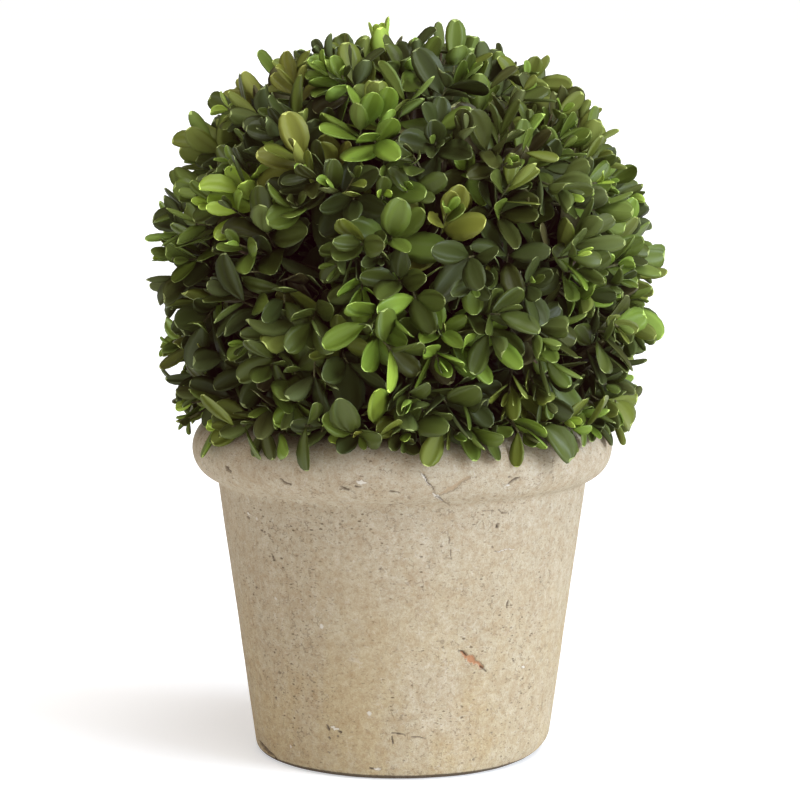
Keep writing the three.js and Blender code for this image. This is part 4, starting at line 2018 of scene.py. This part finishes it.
@dataclass(frozen=True)
class Sun:
    """One soft, even light from far off."""

    name: str
    angle: float  # degrees round to the right from the front
    height: float  # degrees above the horizon
    softness: float  # degrees that it spans
    strength: float
    colour: Colour
    distance: float = 2.0

    def build(self) -> None:
        """Hangs the lamp."""
        lamp = bpy.data.lights.new(self.name, "SUN")
        lamp.angle = math.radians(self.softness)
        lamp.energy, lamp.color = self.strength, self.colour
        angle, height = math.radians(self.angle), math.radians(self.height)
        turned = Vector((math.sin(angle), -math.cos(angle), 0.0))
        toward = turned * math.cos(height) + UP * math.sin(height)
        placed = bpy.data.objects.new(self.name, lamp)
        placed.rotation_mode = "QUATERNION"
        placed.rotation_quaternion = toward.to_track_quat("Z", "Y")
        placed.location = toward * self.distance
        bpy.context.scene.collection.objects.link(placed)


@dataclass
class Studio:
    """The pale floor, the soft light and the camera."""

    suns: tuple[Sun, ...] = (
        Sun("key_light", 62.0, 23.0, 36.0, 2.95, (0.875, 0.985, 1.17)),
        Sun("top_light", 40.0, 74.0, 42.0, 2.0, (0.97, 0.99, 1.03)),
    )
    floor_radius: float = 40.0
    floor_steps: int = 96
    floor_drop: float = 0.05 * MM  # how far it lies under the pot
    floor_colour: Colour = (0.69, 0.69, 0.68)
    floor_roughness: float = 0.9
    floor_gloss: float = 0.1
    floor_light: Colour = (0.955, 0.985, 1.01)
    floor_glow: float = 0.52  # it is lit from beneath too, as a light table is
    horizon: tuple[float, Colour] = (0.09, (1.03, 1.02, 1.0))
    overhead: tuple[float, Colour] = (0.20, (0.325, 0.25, 0.20))
    camera_distance: float = 1.5
    camera_height: float = 0.365
    camera_pitch: float = 7.4  # degrees below level
    camera_aside: float = -0.001
    camera_far: float = 200.0
    sensor: float = 36.0
    lens: float = 140.9
    film_black: Colour = (-0.0045, -0.0006, -0.0014)  # the warm veil that the lens lays on the darks

    def build(self) -> None:
        """Sets up everything that isn't the plant."""
        self.build_floor()
        self.build_world()
        for sun in self.suns:
            sun.build()
        self.build_camera()
        view = bpy.context.scene.view_settings
        view.view_transform = "Standard"
        view.look = "None"
        view.use_curve_mapping = True
        view.curve_mapping.black_level = self.film_black
        view.curve_mapping.update()

    def build_floor(self) -> None:
        """Lays the floor."""
        bm = bmesh.new()
        radius, steps = self.floor_radius, self.floor_steps
        bmesh.ops.create_circle(bm, cap_ends=True, radius=radius, segments=steps)
        bmesh.ops.translate(bm, verts=bm.verts[:], vec=(0.0, 0.0, -self.floor_drop))
        paint = Paint(bpy.data.materials.new("pale_floor"))
        paint.principled({
            "Base Color": (*self.floor_colour, 1.0),
            "Roughness": self.floor_roughness,
            "Specular IOR Level": self.floor_gloss,
            "Emission Color": (*self.floor_light, 1.0),
            "Emission Strength": self.floor_glow,
        })
        from_bmesh("studio_floor", bm, [paint.owner])

    def build_world(self) -> None:
        """Lights the room: white near the horizon and dimmer overhead."""
        paint = Paint(bpy.data.worlds.new("studio"))
        bpy.context.scene.world = paint.owner
        places = paint.node("ShaderNodeTexCoord", output="Generated")
        stops = {"stops": (self.horizon, self.overhead)}
        light = paint.node("ShaderNodeValToRGB", stops, {0: paint.height(places)})
        background = paint.node("ShaderNodeBackground", {}, {0: light})
        paint.node("ShaderNodeOutputWorld", {}, {0: background})

    def build_camera(self) -> None:
        """Sets the camera in front, a little above the plant and looking slightly down."""
        lens = bpy.data.cameras.new("front_camera")
        lens.sensor_width = self.sensor
        lens.lens = self.lens
        lens.clip_end = self.camera_far
        camera = bpy.data.objects.new("front_camera", lens)
        camera.location = (self.camera_aside, -self.camera_distance, self.camera_height)
        camera.rotation_euler = (math.radians(90.0 - self.camera_pitch), 0.0, 0.0)
        bpy.context.scene.collection.objects.link(camera)
        bpy.context.scene.camera = camera


def main() -> None:
    """Builds the pot, the soil, the plant and the studio."""
    logging.basicConfig(level=logging.INFO, format="%(name)s: %(message)s")
    Studio().build()
    pot = Pot()
    pot.build()
    PottingMix(pot).build()
    Crown(pot).build()


if __name__ == "__main__":
    main()
